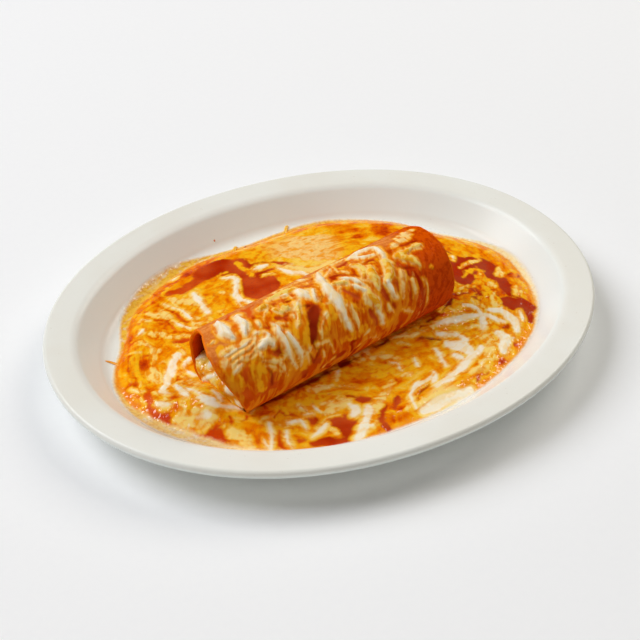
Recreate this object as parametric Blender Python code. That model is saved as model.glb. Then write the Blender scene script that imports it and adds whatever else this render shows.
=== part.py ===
"""An oval platter with one rolled enchilada in red sauce under melted cheese.

Metres, +Z up. The platter stands on Z = 0 with its long axis on X and its centre on the Z axis.
"""

import math
import random

import bmesh
import bpy
from mathutils import Vector, noise

# Platter
HALF_LENGTH = 0.1525
HALF_WIDTH = 0.1220
OUTLINE_POWER = 2.06
RIM_HEIGHT = 0.0245
FLOOR_HEIGHT = 0.0070
UNDERSIDE_HEIGHT = 0.0030
LIP_DEPTH = 0.0045
CREST_INSET = 0.0160
CREST_DROP = 0.0017
FLOOR_INSET = 0.0300
FOOT_INSET = 0.0345
FOOT_WIDTH = 0.0050
PLAIN_INSET = 0.0550
PLATTER_SIDES = 72
ARC_STEP = math.radians(19)

# Sauce
POOL_HEIGHT = 0.0102
POOL_EDGE_INSET = 0.0285
POOL_EDGE_THICKNESS = 0.0007
POOL_SLOPE = 0.010
POOL_RINGS = 12
POOL_WAVE = 0.0005
BLANKET = 0.0009
BANK_HEIGHT = 0.0022
BANK_REACH = 0.010
MOUND_HEIGHT = 0.0085
MOUND_REACH = 0.013
MOUND_ALONG = -0.0860
MOUND_ACROSS = 0.0020
DRAWN_BACK = ((158, 14, 0.007), (92, 17, 0.008), (60, 14, 0.003), (25, 20, 0.009), (-14, 16, 0.002))
BARE_SAUCE = ((-0.047, 0.056, 0.028), (0.103, 0.004, 0.020), (-0.036, -0.082, 0.015), (-0.104, 0.004, 0.013))

# Roll
ROLL_LENGTH = 0.1520
ROLL_WIDTH = 0.0485
ROLL_HEIGHT = 0.0440
ROLL_BOTTOM = 0.0088
ROLL_SIDE = -0.0203
ROLL_YAW = math.radians(10.6)
ROLL_LEFT_END = -0.0925
ROLL_POWER = 2.15
ROLL_UNEVEN = 0.022
TORTILLA = 0.0021
LAYER_GAP = 0.0006
SEAM_ANGLE = math.radians(-70)
WRAP = math.radians(396)
TUCK = math.radians(55)
ROLL_COLUMNS = 42
ROLL_RINGS = 14
LEFT_TIP_ANGLE = math.radians(128)
LEFT_RECESS = 0.0105
LEFT_UNDERCUT = 0.0050
RIGHT_TIP_ANGLE = math.radians(75)
RIGHT_RECESS = 0.0030
RIGHT_UNDERCUT = 0.0050

# Filling
FILLING_SPILL = 0.0010
FILLING_HOLLOW = 0.0180
FILLING_LEVEL = 0.30
FILLING_SLOPE = 0.30
FILLING_RIGHT_DEPTH = 0.0080
FILLING_SLANT = 0.0060
FILLING_LUMP = 0.0012
FILLING_SIDES = 28
FILLING_RINGS = 9
FILLING_FACE_SHARES = (0.35, 0.68, 1.0)

# Melted cheese
POOL_SHREDS = 44
ROLL_SHREDS = 27
SHRED_SPACING = 0.0125
ROLL_SHRED_SPACING = 0.0105
SHRED_SEED = 11

GAP = 0.0003
CUT_GAP = 0.0004

PLATTER_COLOUR = (0.80, 0.78, 0.71)
SAUCE_COLOUR = (0.86, 0.40, 0.05)
TORTILLA_COLOUR = (0.62, 0.20, 0.04)
FILLING_COLOUR = (0.30, 0.05, 0.01)


def smooth_step(share):
    share = min(1.0, max(0.0, share))
    return share * share * (3 - 2 * share)


def bell(distance, reach):
    return math.exp(-((distance / reach) ** 2))


def wrapped_degrees(angle, centre):
    """The angle's distance from centre in degrees, from -180 to 180."""
    return (math.degrees(angle) - centre + 180) % 360 - 180


def clear_scene():
    for obj in list(bpy.data.objects):
        bpy.data.objects.remove(obj, do_unlink=True)


def material(name, colour, roughness):
    made = bpy.data.materials.new(name)
    made.use_nodes = True
    shader = made.node_tree.nodes["Principled BSDF"]
    shader.inputs["Base Color"].default_value = (*colour, 1)
    shader.inputs["Roughness"].default_value = roughness
    shader.inputs["Metallic"].default_value = 0
    made.diffuse_color = (*colour, 1)
    return made


def mesh_object(name, points, faces):
    mesh = bpy.data.meshes.new(name)
    mesh.from_pydata(points, [], faces)
    mesh.update()
    obj = bpy.data.objects.new(name, mesh)
    bpy.context.scene.collection.objects.link(obj)
    return obj


def finish(obj, finish_material):
    obj.data.materials.clear()
    obj.data.materials.append(finish_material)
    obj.data.shade_smooth()
    obj.data.set_sharp_from_angle(angle=math.radians(50))


def ring_faces(lower, upper, count):
    """Quads from one ring to the next, both given by their first point's index."""
    return [
        (lower + i, lower + (i + 1) % count, upper + (i + 1) % count, upper + i)
        for i in range(count)
    ]


def fan_faces(centre, ring, count, flipped):
    """Triangles from a centre point to a ring."""
    around = [(centre, ring + i, ring + (i + 1) % count) for i in range(count)]
    return [face[::-1] for face in around] if flipped else around


# Platter

def outline_point(angle, inset):
    """A point on the platter's outline, moved in by inset."""
    across = math.cos(angle)
    along = math.sin(angle)
    power = 2 / OUTLINE_POWER
    return (
        (HALF_LENGTH - inset) * math.copysign(abs(across) ** power, across),
        (HALF_WIDTH - inset) * math.copysign(abs(along) ** power, along),
    )


def inset_of(x, y):
    """How far in from the platter's outline a point lies."""
    low = 0.0
    high = HALF_WIDTH - 1e-4
    for _ in range(24):
        middle = (low + high) / 2
        reach = (abs(x) / (HALF_LENGTH - middle)) ** OUTLINE_POWER
        reach += (abs(y) / (HALF_WIDTH - middle)) ** OUTLINE_POWER
        if reach > 1:
            high = middle
        else:
            low = middle
    return low


def rounded(corners):
    """The line through corners of (inset, height, radius), with each corner rounded by an arc."""
    line = [corners[0][:2]]
    for before, corner, after in zip(corners, corners[1:], corners[2:]):
        here = Vector(corner[:2])
        radius = corner[2]
        back = (Vector(before[:2]) - here).normalized()
        ahead = (Vector(after[:2]) - here).normalized()
        half = back.angle(ahead) / 2
        if radius == 0:
            line.append(tuple(here))
            continue
        centre = here + (back + ahead).normalized() * radius / math.sin(half)
        start = here + back * radius / math.tan(half) - centre
        end = here + ahead * radius / math.tan(half) - centre
        sweep = start.angle_signed(end)
        steps = max(1, round(abs(sweep) / ARC_STEP))
        for step in range(steps + 1):
            turn = -sweep * step / steps
            line.append((
                centre.x + start.x * math.cos(turn) - start.y * math.sin(turn),
                centre.y + start.x * math.sin(turn) + start.y * math.cos(turn),
            ))
    line.append(corners[-1][:2])
    return line


def upper_profile():
    """The platter's upper face from its floor out to the lip, as (inset, height)."""
    return rounded((
        (PLAIN_INSET, FLOOR_HEIGHT, 0),
        (FLOOR_INSET, FLOOR_HEIGHT, 0.009),
        (CREST_INSET, RIM_HEIGHT - CREST_DROP, 0.008),
        (0.0, RIM_HEIGHT, 0.0020),
        (0.0, RIM_HEIGHT - LIP_DEPTH / 2, 0),
    ))


def lower_profile():
    """The platter's underside from the lip in to the middle, as (inset, height)."""
    foot_inner = FOOT_INSET + FOOT_WIDTH
    return rounded((
        (0.0, RIM_HEIGHT - LIP_DEPTH / 2, 0),
        (0.0, RIM_HEIGHT - LIP_DEPTH, 0.0016),
        (CREST_INSET - 0.0035, RIM_HEIGHT - LIP_DEPTH - CREST_DROP, 0.006),
        (FLOOR_INSET - 0.0015, UNDERSIDE_HEIGHT, 0.006),
        (FOOT_INSET - 0.0004, UNDERSIDE_HEIGHT, 0),
        (FOOT_INSET, 0.0, 0),
        (foot_inner, 0.0, 0),
        (foot_inner + 0.0004, UNDERSIDE_HEIGHT, 0),
        (PLAIN_INSET, UNDERSIDE_HEIGHT, 0),
    ))


def platter_top(inset):
    """The height of the platter's upper face at an inset, read along its profile."""
    for inner, outer in zip(PROFILE_UP, PROFILE_UP[1:]):
        if outer[0] <= inset <= inner[0] and inner[0] > outer[0]:
            share = (inner[0] - inset) / (inner[0] - outer[0])
            return inner[1] + share * (outer[1] - inner[1])
    return FLOOR_HEIGHT


def make_platter():
    profile = PROFILE_UP + lower_profile()[1:]
    points = []
    for inset, height in profile:
        for side in range(PLATTER_SIDES):
            x, y = outline_point(math.tau * side / PLATTER_SIDES, inset)
            points.append((x, y, height))
    faces = []
    for ring in range(len(profile) - 1):
        faces += ring_faces(ring * PLATTER_SIDES, (ring + 1) * PLATTER_SIDES, PLATTER_SIDES)
    faces = [face[::-1] for face in faces]
    last_ring = (len(profile) - 1) * PLATTER_SIDES
    top_centre = len(points)
    points += [(0, 0, FLOOR_HEIGHT), (0, 0, UNDERSIDE_HEIGHT)]
    faces += fan_faces(top_centre, 0, PLATTER_SIDES, False)
    faces += fan_faces(top_centre + 1, last_ring, PLATTER_SIDES, True)
    return mesh_object("platter", points, faces)


# Roll

def to_roll(x, y):
    """A place on the table as (along, across) of the roll: along runs to its right end, across to the back."""
    y -= ROLL_SIDE
    return (
        x * math.cos(ROLL_YAW) + y * math.sin(ROLL_YAW),
        y * math.cos(ROLL_YAW) - x * math.sin(ROLL_YAW),
    )


def from_roll(along, across, height):
    return Vector((
        along * math.cos(ROLL_YAW) - across * math.sin(ROLL_YAW),
        along * math.sin(ROLL_YAW) + across * math.cos(ROLL_YAW) + ROLL_SIDE,
        height,
    ))


def roll_radius(along, angle):
    """The roll's outer radius at an angle counted from its back side, over its top, to its front side."""
    flat = abs(math.cos(angle) / (ROLL_WIDTH / 2)) ** ROLL_POWER
    tall = abs(math.sin(angle) / (ROLL_HEIGHT / 2)) ** ROLL_POWER
    radius = (flat + tall) ** (-1 / ROLL_POWER)
    place = Vector((along * 38, 1.4 * math.cos(angle), 1.4 * math.sin(angle)))
    upper = smooth_step(0.5 + math.sin(angle))
    return radius * (1 + ROLL_UNEVEN * upper * noise.noise(place))


def roll_point(along, angle, lift):
    """A point at a height above the roll's outer surface, or below it where lift is negative."""
    radius = roll_radius(along, angle) + lift
    middle = ROLL_BOTTOM + ROLL_HEIGHT / 2
    return from_roll(along, radius * math.cos(angle), middle + radius * math.sin(angle))


def recess(turn, depth):
    """How far an end is set back at a turn in degrees from its tip, as a round sheet's edge is."""
    return depth * math.sin(math.radians(min(abs(turn), 90))) ** 2


def left_end(angle):
    turn = wrapped_degrees(angle, math.degrees(LEFT_TIP_ANGLE))
    under = smooth_step((turn - 60) / 50) * smooth_step((180 - turn) / 50)
    return ROLL_LEFT_END + recess(turn, LEFT_RECESS) + LEFT_UNDERCUT * under


def right_end(angle):
    turn = wrapped_degrees(angle, math.degrees(RIGHT_TIP_ANGLE))
    undercut = RIGHT_UNDERCUT * smooth_step((abs(turn) - 90) / 90)
    return ROLL_LEFT_END + ROLL_LENGTH - recess(turn, RIGHT_RECESS) - undercut


def tuck_depth(turn):
    """How far the sheet has moved in, at a turn counted from its outer edge."""
    return (TORTILLA + LAYER_GAP) * smooth_step((turn - math.tau + TUCK) / TUCK)


def make_tortilla():
    """One sheet wound a little over once round, with its inner edge tucked under its outer edge."""
    points = []
    for ring in range(ROLL_RINGS):
        share = ring / (ROLL_RINGS - 1)
        outer = []
        inner = []
        for column in range(ROLL_COLUMNS):
            turn = WRAP * column / (ROLL_COLUMNS - 1)
            angle = SEAM_ANGLE + turn
            along = left_end(angle) + share * (right_end(angle) - left_end(angle))
            depth = tuck_depth(turn)
            outer.append(roll_point(along, angle, -depth))
            inner.append(roll_point(along, angle, -depth - TORTILLA))
        points += outer + inner[::-1]
    loop = 2 * ROLL_COLUMNS
    faces = []
    for ring in range(ROLL_RINGS - 1):
        faces += ring_faces(ring * loop, (ring + 1) * loop, loop)
    last = (ROLL_RINGS - 1) * loop
    for column in range(ROLL_COLUMNS - 1):
        across = loop - 1 - column
        end = (column, column + 1, across - 1, across)
        faces.append(end[::-1])
        faces.append(tuple(last + index for index in end))
    obj = mesh_object("rolled_tortilla", points, faces)
    face_out(obj)
    return obj


def face_out(obj):
    """Turns every face outwards."""
    work = bmesh.new()
    work.from_mesh(obj.data)
    bmesh.ops.recalc_face_normals(work, faces=work.faces)
    work.to_mesh(obj.data)
    work.free()


def closed_tube(name, rings, left, right):
    """A solid through rings of points, closed by a fan to a point at each end."""
    count = len(rings[0])
    points = [point for ring in rings for point in ring]
    faces = []
    for ring in range(len(rings) - 1):
        faces += ring_faces(ring * count, (ring + 1) * count, count)
    faces += fan_faces(len(points), 0, count, True)
    faces += fan_faces(len(points) + 1, (len(rings) - 1) * count, count, False)
    obj = mesh_object(name, [*points, left, right], faces)
    face_out(obj)
    return obj


def roll_space(lift):
    """The whole room that the roll takes, grown by lift, open ends included."""
    rings = []
    for ring in range(ROLL_RINGS):
        share = ring / (ROLL_RINGS - 1)
        loop = []
        for side in range(ROLL_COLUMNS):
            angle = math.tau * side / ROLL_COLUMNS
            start = left_end(angle) - lift
            along = start + share * (right_end(angle) + lift - start)
            loop.append(roll_point(along, angle, lift))
        rings.append(loop)
    middle = ROLL_BOTTOM + ROLL_HEIGHT / 2
    return closed_tube(
        "roll_space",
        rings,
        from_roll(ROLL_LEFT_END + LEFT_RECESS, 0, middle),
        from_roll(ROLL_LEFT_END + ROLL_LENGTH - RIGHT_RECESS, 0, middle),
    )


def filling_lift(angle):
    """How far inside the roll's outer surface the filling lies, clear of the tucked edge."""
    turn = (angle - SEAM_ANGLE) % math.tau
    margin = math.radians(14)
    entering = smooth_step((turn - math.tau + TUCK + margin) / TUCK)
    leaving = 1 - smooth_step((turn - (WRAP - math.tau) - margin / 2) / margin)
    tucked = max(entering, leaving)
    return -(TORTILLA + CUT_GAP) - tucked * (TORTILLA + LAYER_GAP)


def filling_front(across, height):
    """Where the filling's left face lies: spilt out low in the mouth, sunk back into a hollow above."""
    level = (height - ROLL_BOTTOM) / ROLL_HEIGHT
    lump = FILLING_LUMP * noise.noise(Vector((across * 140, height * 140, 3.0)))
    sunk = FILLING_HOLLOW * smooth_step((level - FILLING_LEVEL) / FILLING_SLOPE)
    under = LEFT_UNDERCUT * smooth_step(-across / (0.38 * ROLL_WIDTH))
    return ROLL_LEFT_END + LEFT_RECESS - FILLING_SPILL + sunk + under + lump


def make_filling(name, grow):
    """The sauced filling that runs through the roll, grown by a margin where it serves as a cutter."""
    middle = ROLL_BOTTOM + ROLL_HEIGHT / 2
    rings = []
    for share in FILLING_FACE_SHARES:
        loop = []
        for side in range(FILLING_SIDES):
            angle = math.tau * side / FILLING_SIDES
            edge = roll_radius(ROLL_LEFT_END, angle) + filling_lift(angle) + grow
            across = share * edge * math.cos(angle)
            height = middle + share * edge * math.sin(angle)
            loop.append(from_roll(filling_front(across, height) - grow, across, height))
        rings.append(loop)
    for ring in range(1, FILLING_RINGS):
        share = ring / (FILLING_RINGS - 1)
        loop = []
        for side in range(FILLING_SIDES):
            angle = math.tau * side / FILLING_SIDES
            edge = roll_radius(ROLL_LEFT_END, angle) + filling_lift(angle)
            start = filling_front(edge * math.cos(angle), middle + edge * math.sin(angle)) - grow
            stop = right_end(angle) - FILLING_RIGHT_DEPTH - FILLING_SLANT * math.sin(angle) + grow
            loop.append(roll_point(start + share * (stop - start), angle, filling_lift(angle) + grow))
        rings.append(loop)
    return closed_tube(
        name,
        rings,
        from_roll(filling_front(0, middle) - grow, 0, middle),
        from_roll(right_end(0) - FILLING_RIGHT_DEPTH + grow, 0, middle),
    )


# Sauce

def pool_edge(angle):
    """The inset of the pool's edge, which is drawn back where the sauce ran short of the wall."""
    drawn = sum(
        depth * bell(wrapped_degrees(angle, centre), reach)
        for centre, reach, depth in DRAWN_BACK
    )
    ragged = noise.noise(Vector((3.1 * math.cos(angle), 3.1 * math.sin(angle), 0.4)))
    return POOL_EDGE_INSET + drawn + 0.0014 * ragged


def pool_level(x, y):
    """The height of the melted surface well inside the pool."""
    wave = noise.noise(Vector((x * 45, y * 45, 2.0))) + 0.5 * noise.noise(Vector((x * 110, y * 110, 5.0)))
    bare = max(bell(math.hypot(x - px, y - py), reach) for px, py, reach in BARE_SAUCE)
    along, across = to_roll(x, y)
    off_end = max(0.0, ROLL_LEFT_END - along, along - ROLL_LEFT_END - ROLL_LENGTH)
    beside = max(0.0, abs(across) - 0.38 * ROLL_WIDTH)
    bank = BANK_HEIGHT * bell(math.hypot(off_end, beside), BANK_REACH)
    mound = MOUND_HEIGHT * bell(math.hypot(along - MOUND_ALONG, across - MOUND_ACROSS), MOUND_REACH)
    return POOL_HEIGHT + POOL_WAVE * wave + BLANKET * (1 - smooth_step(2 * bare)) + bank + mound


def pool_top(x, y):
    """The height of the pool's upper face, which falls to a thin edge on the platter."""
    angle = math.atan2(y / HALF_WIDTH, x / HALF_LENGTH)
    inset = inset_of(x, y)
    thin = platter_top(inset) + GAP + POOL_EDGE_THICKNESS
    share = smooth_step((inset - pool_edge(angle)) / POOL_SLOPE)
    return thin + share * max(0.0, pool_level(x, y) - thin)


def make_pool():
    """The pool as one body: an upper face of rings that close on the middle, over the platter's own form."""
    upper_shares = [1 - (ring / POOL_RINGS) ** 1.25 for ring in range(POOL_RINGS)]
    lower_shares = [0.94, 0.86, 0.55]
    points = []

    def add_ring(share, height):
        for side in range(PLATTER_SIDES):
            angle = math.tau * side / PLATTER_SIDES
            x, y = outline_point(angle, pool_edge(angle))
            x *= share
            y *= share
            points.append((x, y, height(x, y)))

    for share in upper_shares:
        add_ring(share, pool_top)
    for share in [1.0, *lower_shares]:
        add_ring(share, lambda x, y: platter_top(inset_of(x, y)) + GAP)
    count = PLATTER_SIDES
    upper = len(upper_shares)
    faces = []
    for ring in range(upper - 1):
        faces += ring_faces(ring * count, (ring + 1) * count, count)
    for ring in range(upper, upper + len(lower_shares)):
        faces += ring_faces(ring * count, (ring + 1) * count, count)
    faces += ring_faces(0, upper * count, count)
    top_centre = len(points)
    points += [(0, 0, pool_top(0, 0)), (0, 0, FLOOR_HEIGHT + GAP)]
    faces += fan_faces(top_centre, (upper - 1) * count, count, False)
    faces += fan_faces(top_centre + 1, (upper + len(lower_shares)) * count, count, True)
    obj = mesh_object("sauce_pool", points, faces)
    face_out(obj)
    return obj


# Melted cheese

def shred(spine, ups, width, height):
    """A flattened strand along a spine, half sunk in what it lies on and narrowed to a point at each end."""
    rings = []
    last = len(spine) - 1
    for index, (point, up) in enumerate(zip(spine, ups)):
        ahead = (spine[min(last, index + 1)] - spine[max(0, index - 1)]).normalized()
        side = ahead.cross(up).normalized()
        taper = math.sin(math.pi * (index + 0.8) / (last + 1.6)) ** 0.5
        loop = []
        for corner in range(6):
            turn = math.tau * (corner + 0.5) / 6
            reach = side * math.cos(turn) * width / 2 + up * math.sin(turn) * height
            loop.append(point + reach * taper)
        rings.append(loop)
    tip = width * 0.35
    left = spine[0] - (spine[1] - spine[0]).normalized() * tip
    right = spine[last] + (spine[last] - spine[last - 1]).normalized() * tip
    return closed_tube("shred", rings, left, right)


def apart(place, others, spacing):
    return all(math.dist(place, other) >= spacing for other in others)


def pool_shreds(draw):
    """Strands spread over the pool, clear of its edge and of the roll."""
    made = []
    places = []
    while len(made) < POOL_SHREDS:
        x = draw.uniform(-HALF_LENGTH, HALF_LENGTH)
        y = draw.uniform(-HALF_WIDTH, HALF_WIDTH)
        heading = draw.uniform(0, math.pi)
        bend = draw.uniform(-0.9, 0.9)
        length = draw.uniform(0.012, 0.021)
        width = draw.uniform(0.0034, 0.0052)
        spine = []
        for step in range(4):
            shift = (step / 3 - 0.5) * length
            turned = heading + bend * shift / length
            spine.append(Vector((x + shift * math.cos(turned), y + shift * math.sin(turned), 0)))
        if not apart((x, y), places, SHRED_SPACING):
            continue
        if any(not on_open_pool(point) for point in spine):
            continue
        for point in spine:
            point.z = pool_top(point.x, point.y) + 0.0001
        places.append((x, y))
        made.append(shred(spine, [Vector((0, 0, 1))] * 4, width, draw.uniform(0.0010, 0.0014)))
    return made


def on_open_pool(point):
    """True where a strand lies on melted cheese, off the bare sauce, the edge and the roll."""
    angle = math.atan2(point.y / HALF_WIDTH, point.x / HALF_LENGTH)
    if inset_of(point.x, point.y) < pool_edge(angle) + 0.008:
        return False
    if any(math.hypot(point.x - x, point.y - y) < 0.75 * reach for x, y, reach in BARE_SAUCE):
        return False
    along, across = to_roll(point.x, point.y)
    beyond = 0.006
    within = ROLL_LEFT_END - beyond < along < ROLL_LEFT_END + ROLL_LENGTH + beyond
    return not (within and abs(across) < ROLL_WIDTH / 2 + beyond)


def roll_shreds(draw):
    """Strands that hang over the roll from its top down its front side."""
    made = []
    places = []
    while len(made) < ROLL_SHREDS:
        along = draw.uniform(ROLL_LEFT_END + 0.014, ROLL_LEFT_END + ROLL_LENGTH - 0.028)
        middle = math.radians(draw.uniform(72, 196))
        half = draw.uniform(0.008, 0.013) / (ROLL_WIDTH / 2)
        lean = draw.uniform(-0.004, 0.010)
        width = draw.uniform(0.0036, 0.0054)
        height = draw.uniform(0.0012, 0.0017)
        place = (along, middle * ROLL_WIDTH / 2)
        if not apart(place, places, ROLL_SHRED_SPACING):
            continue
        places.append(place)
        spine = []
        ups = []
        for step in range(4):
            share = 2 * step / 3 - 1
            here = (along + lean * share, middle + half * share)
            spine.append(roll_point(*here, 0.0001))
            ups.append((roll_point(*here, 0.001) - roll_point(*here, 0)).normalized())
        made.append(shred(spine, ups, width, height))
    return made


# Joining

def apply_boolean(obj, operation, pieces):
    """One Boolean of obj with all the pieces, applied, after which the pieces are removed."""
    group = bpy.data.collections.new("pieces")
    bpy.context.scene.collection.children.link(group)
    for piece in pieces:
        bpy.context.scene.collection.objects.unlink(piece)
        group.objects.link(piece)
    modifier = obj.modifiers.new("join", "BOOLEAN")
    modifier.operation = operation
    modifier.operand_type = "COLLECTION"
    modifier.collection = group
    modifier.solver = "MANIFOLD"
    bpy.context.view_layer.update()
    evaluated = obj.evaluated_get(bpy.context.evaluated_depsgraph_get())
    joined = bpy.data.meshes.new_from_object(evaluated)
    obj.modifiers.clear()
    obj.data = joined
    for piece in pieces:
        bpy.data.objects.remove(piece, do_unlink=True)
    bpy.data.collections.remove(group)


def keep_largest(obj):
    """Drops loose scraps, leaving the body with the most points."""
    work = bmesh.new()
    work.from_mesh(obj.data)
    left = set(work.verts)
    bodies = []
    while left:
        body = set()
        front = [left.pop()]
        while front:
            point = front.pop()
            body.add(point)
            for edge in point.link_edges:
                other = edge.other_vert(point)
                if other in left:
                    left.remove(other)
                    front.append(other)
        bodies.append(body)
    largest = max(bodies, key=len)
    scraps = [point for body in bodies if body is not largest for point in body]
    bmesh.ops.delete(work, geom=scraps, context="VERTS")
    work.to_mesh(obj.data)
    work.free()


def main():
    clear_scene()
    draw = random.Random(SHRED_SEED)
    platter = make_platter()
    pool = make_pool()
    tortilla = make_tortilla()
    filling = make_filling("filling", 0.0)
    apply_boolean(pool, "DIFFERENCE", [roll_space(CUT_GAP), make_filling("filling_space", CUT_GAP)])
    apply_boolean(pool, "UNION", pool_shreds(draw))
    apply_boolean(tortilla, "UNION", roll_shreds(draw))
    keep_largest(pool)
    keep_largest(tortilla)
    finish(platter, material("glazed_stoneware", PLATTER_COLOUR, 0.18))
    finish(pool, material("sauce_and_cheese", SAUCE_COLOUR, 0.30))
    finish(tortilla, material("sauced_tortilla", TORTILLA_COLOUR, 0.42))
    finish(filling, material("sauced_filling", FILLING_COLOUR, 0.45))


PROFILE_UP = upper_profile()
main()
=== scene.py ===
"""One rolled enchilada in red sauce under melted cheese, on an oval platter, dressed for its picture."""

import itertools
import math
import random

import bpy
import numpy as np
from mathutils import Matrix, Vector, noise


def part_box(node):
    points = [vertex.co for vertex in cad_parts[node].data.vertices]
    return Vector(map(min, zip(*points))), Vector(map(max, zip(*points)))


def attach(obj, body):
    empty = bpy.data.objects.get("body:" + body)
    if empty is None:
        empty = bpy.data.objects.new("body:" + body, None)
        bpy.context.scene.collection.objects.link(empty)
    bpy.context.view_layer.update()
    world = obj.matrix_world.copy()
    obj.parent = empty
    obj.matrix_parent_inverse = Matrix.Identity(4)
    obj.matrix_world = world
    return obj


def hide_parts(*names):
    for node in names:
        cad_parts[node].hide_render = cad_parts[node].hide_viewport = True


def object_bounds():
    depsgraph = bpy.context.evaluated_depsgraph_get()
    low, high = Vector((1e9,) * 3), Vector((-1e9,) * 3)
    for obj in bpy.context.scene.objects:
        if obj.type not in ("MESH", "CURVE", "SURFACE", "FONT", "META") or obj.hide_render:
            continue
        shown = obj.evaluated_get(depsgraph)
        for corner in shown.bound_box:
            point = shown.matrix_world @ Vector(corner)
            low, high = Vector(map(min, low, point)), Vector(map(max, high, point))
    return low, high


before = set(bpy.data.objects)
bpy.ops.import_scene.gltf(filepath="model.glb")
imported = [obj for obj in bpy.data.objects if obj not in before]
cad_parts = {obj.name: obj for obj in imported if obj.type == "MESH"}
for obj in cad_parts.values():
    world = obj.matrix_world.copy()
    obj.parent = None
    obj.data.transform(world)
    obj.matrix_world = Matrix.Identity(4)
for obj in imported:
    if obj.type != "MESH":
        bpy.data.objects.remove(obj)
cad_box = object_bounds()

# Camera, as the photograph was taken
PHOTO_SIZE = 640
FOCAL_LENGTH = 65.60
SENSOR = 36.0
CAMERA_DISTANCE = 0.610
CAMERA_ELEVATION = math.radians(38.741)
CAMERA_AZIMUTH = math.radians(-28.941)
CAMERA_TARGET = Vector((-0.0134, -0.0172, 0.0250))
CAMERA_BACK = Vector((
    math.sin(CAMERA_AZIMUTH) * math.cos(CAMERA_ELEVATION),
    -math.cos(CAMERA_AZIMUTH) * math.cos(CAMERA_ELEVATION),
    math.sin(CAMERA_ELEVATION),
))
CAMERA_PLACE = CAMERA_TARGET + CAMERA_DISTANCE * CAMERA_BACK

# Platter
HALF_LENGTH, HALF_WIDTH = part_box("platter")[1][:2]
OUTLINE_POWER = 2.06
RIM_HEIGHT = 0.0245
FLOOR_HEIGHT = 0.0070
UNDERSIDE_HEIGHT = 0.0030
LIP_DEPTH = 0.0045
CREST_INSET = 0.0160
CREST_DROP = 0.0017
FLOOR_INSET = 0.0300
FOOT_INSET = 0.0345
FOOT_WIDTH = 0.0050
PLAIN_INSET = 0.0550
LIP_ROUNDING = 0.0020
LIP_ROUNDING_BELOW = 0.0016
CREST_ROUNDING = 0.0080
WELL_ROUNDING = 0.0090
UNDERSIDE_ROUNDING = 0.0060
CREST_UNDERCUT = 0.0035
WALL_UNDERCUT = 0.0015
FOOT_DRAFT = 0.0004
PLATTER_SIDES = 288
ARC_STEP = math.radians(5)
INSET_HALVINGS = 24

# Sauce
POOL_HEIGHT = 0.0102
POOL_EDGE_INSET = 0.0285
POOL_EDGE_THICKNESS = 0.0007
POOL_EDGE_ROUNDING = 0.0015
POOL_EDGE_RAGGED = 0.0014
POOL_EDGE_RATE = 3.1
POOL_SLOPE = 0.010
RELIEF_SLOPE = 0.005
POOL_WAVE = 0.0005
POOL_WAVE_RATES = ((45, 2.0, 1.0), (110, 5.0, 0.5))
POOL_COLUMNS = 346
POOL_ROWS = 256
BLANKET = 0.0009
BANK_HEIGHT = 0.0022
BANK_REACH = 0.010
MOUND_HEIGHT = 0.0085
MOUND_REACH = 0.013
MOUND_ALONG = -0.0860
MOUND_ACROSS = 0.0020
FILM_GAP = 0.00005
FILM_THICKNESS = 0.0002
FILM_SLOPE = 0.003
FILM_LEAST = 0.0006
FILM_INNER_SHARE = 0.8
MILK_ANGLE = -60
MILK_REACH = 95
UNDERSIDE_INSETS = (0.0006, 0.0012, 0.002, 0.003, 0.004, 0.005, 0.0065, 0.010, 0.030, 0.060)
POOL_STRANDS = 430
POOL_SPREAD = ((-HALF_LENGTH, HALF_LENGTH), (-HALF_WIDTH, HALF_WIDTH))
STRANDS_FROM_EDGE = 0.006
POOL_SHARP = math.radians(60)
BARE_SHARE = 0.6

# Bare places of the sauce: middle and reach
BARE_SAUCE = ((-0.047, 0.056, 0.028), (0.103, 0.004, 0.020), (-0.036, -0.082, 0.015), (-0.104, 0.004, 0.013))

# Smooth sheets of cheddar, as ranges along and across the roll
SMOOTH_SHEETS = (((-0.035, math.inf), (0.036, math.inf)), ((-0.030, 0.045), (-0.056, -0.026)))

# Places round the pool: direction and reach in degrees, and how far the edge or the film moves there
DRAWN_BACK = ((158, 14, 0.007), (92, 17, 0.008), (60, 14, 0.003), (25, 20, 0.009), (-14, 16, 0.002))
FILM_RUN_OUT = ((0, 30, 0.0040), (116, 13, 0.0032), (74, 20, 0.0030))
FILM_WIDENED = ((132, 26, 0.0070), (206, 22, 0.0080))
GLAZE_SHOWN = ((34, 12, 0.0030),)

# Roll
ROLL_LENGTH = 0.1520
ROLL_WIDTH = 0.0485
ROLL_HEIGHT = 0.0440
ROLL_BOTTOM = 0.0088
ROLL_MIDDLE = ROLL_BOTTOM + ROLL_HEIGHT / 2
ROLL_SIDE = -0.0203
ROLL_YAW = math.radians(10.6)
ROLL_LEFT_END = -0.0925
ROLL_POWER = 2.15
ROLL_UNEVEN = 0.022
ROLL_UNEVEN_RATE = 38
ROLL_UNEVEN_ROUND = 1.4
ROLL_ARC_RADIUS = 0.0232
TORTILLA = 0.0021
LAYER_GAP = 0.0006
SEAM_ANGLE = math.radians(-70)
WRAP = math.radians(396)
TUCK = math.radians(55)
LEFT_TIP_ANGLE = math.radians(128)
LEFT_RECESS = 0.0105
LEFT_UNDERCUT = 0.0050
LEFT_UNDERCUT_TURNS = (60, 180)
LEFT_UNDERCUT_EASE = 50
RIGHT_TIP_ANGLE = math.radians(75)
RIGHT_RECESS = 0.0030
RIGHT_UNDERCUT = 0.0050
QUARTER_TURN = 90
ROLL_ROWS = 300
EDGE_ROUNDING = 0.0006
SHEET_RAGGED = 0.0005
SHEET_RAGGED_RATE = 4
SHOWN_FROM = math.radians(16)
SHOWN_TO = math.radians(304)
START_TURNS = 5
SHOWN_TURNS = 280
TUCKED_TURNS = 24
CHEESE_FROM = math.radians(20)
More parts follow.
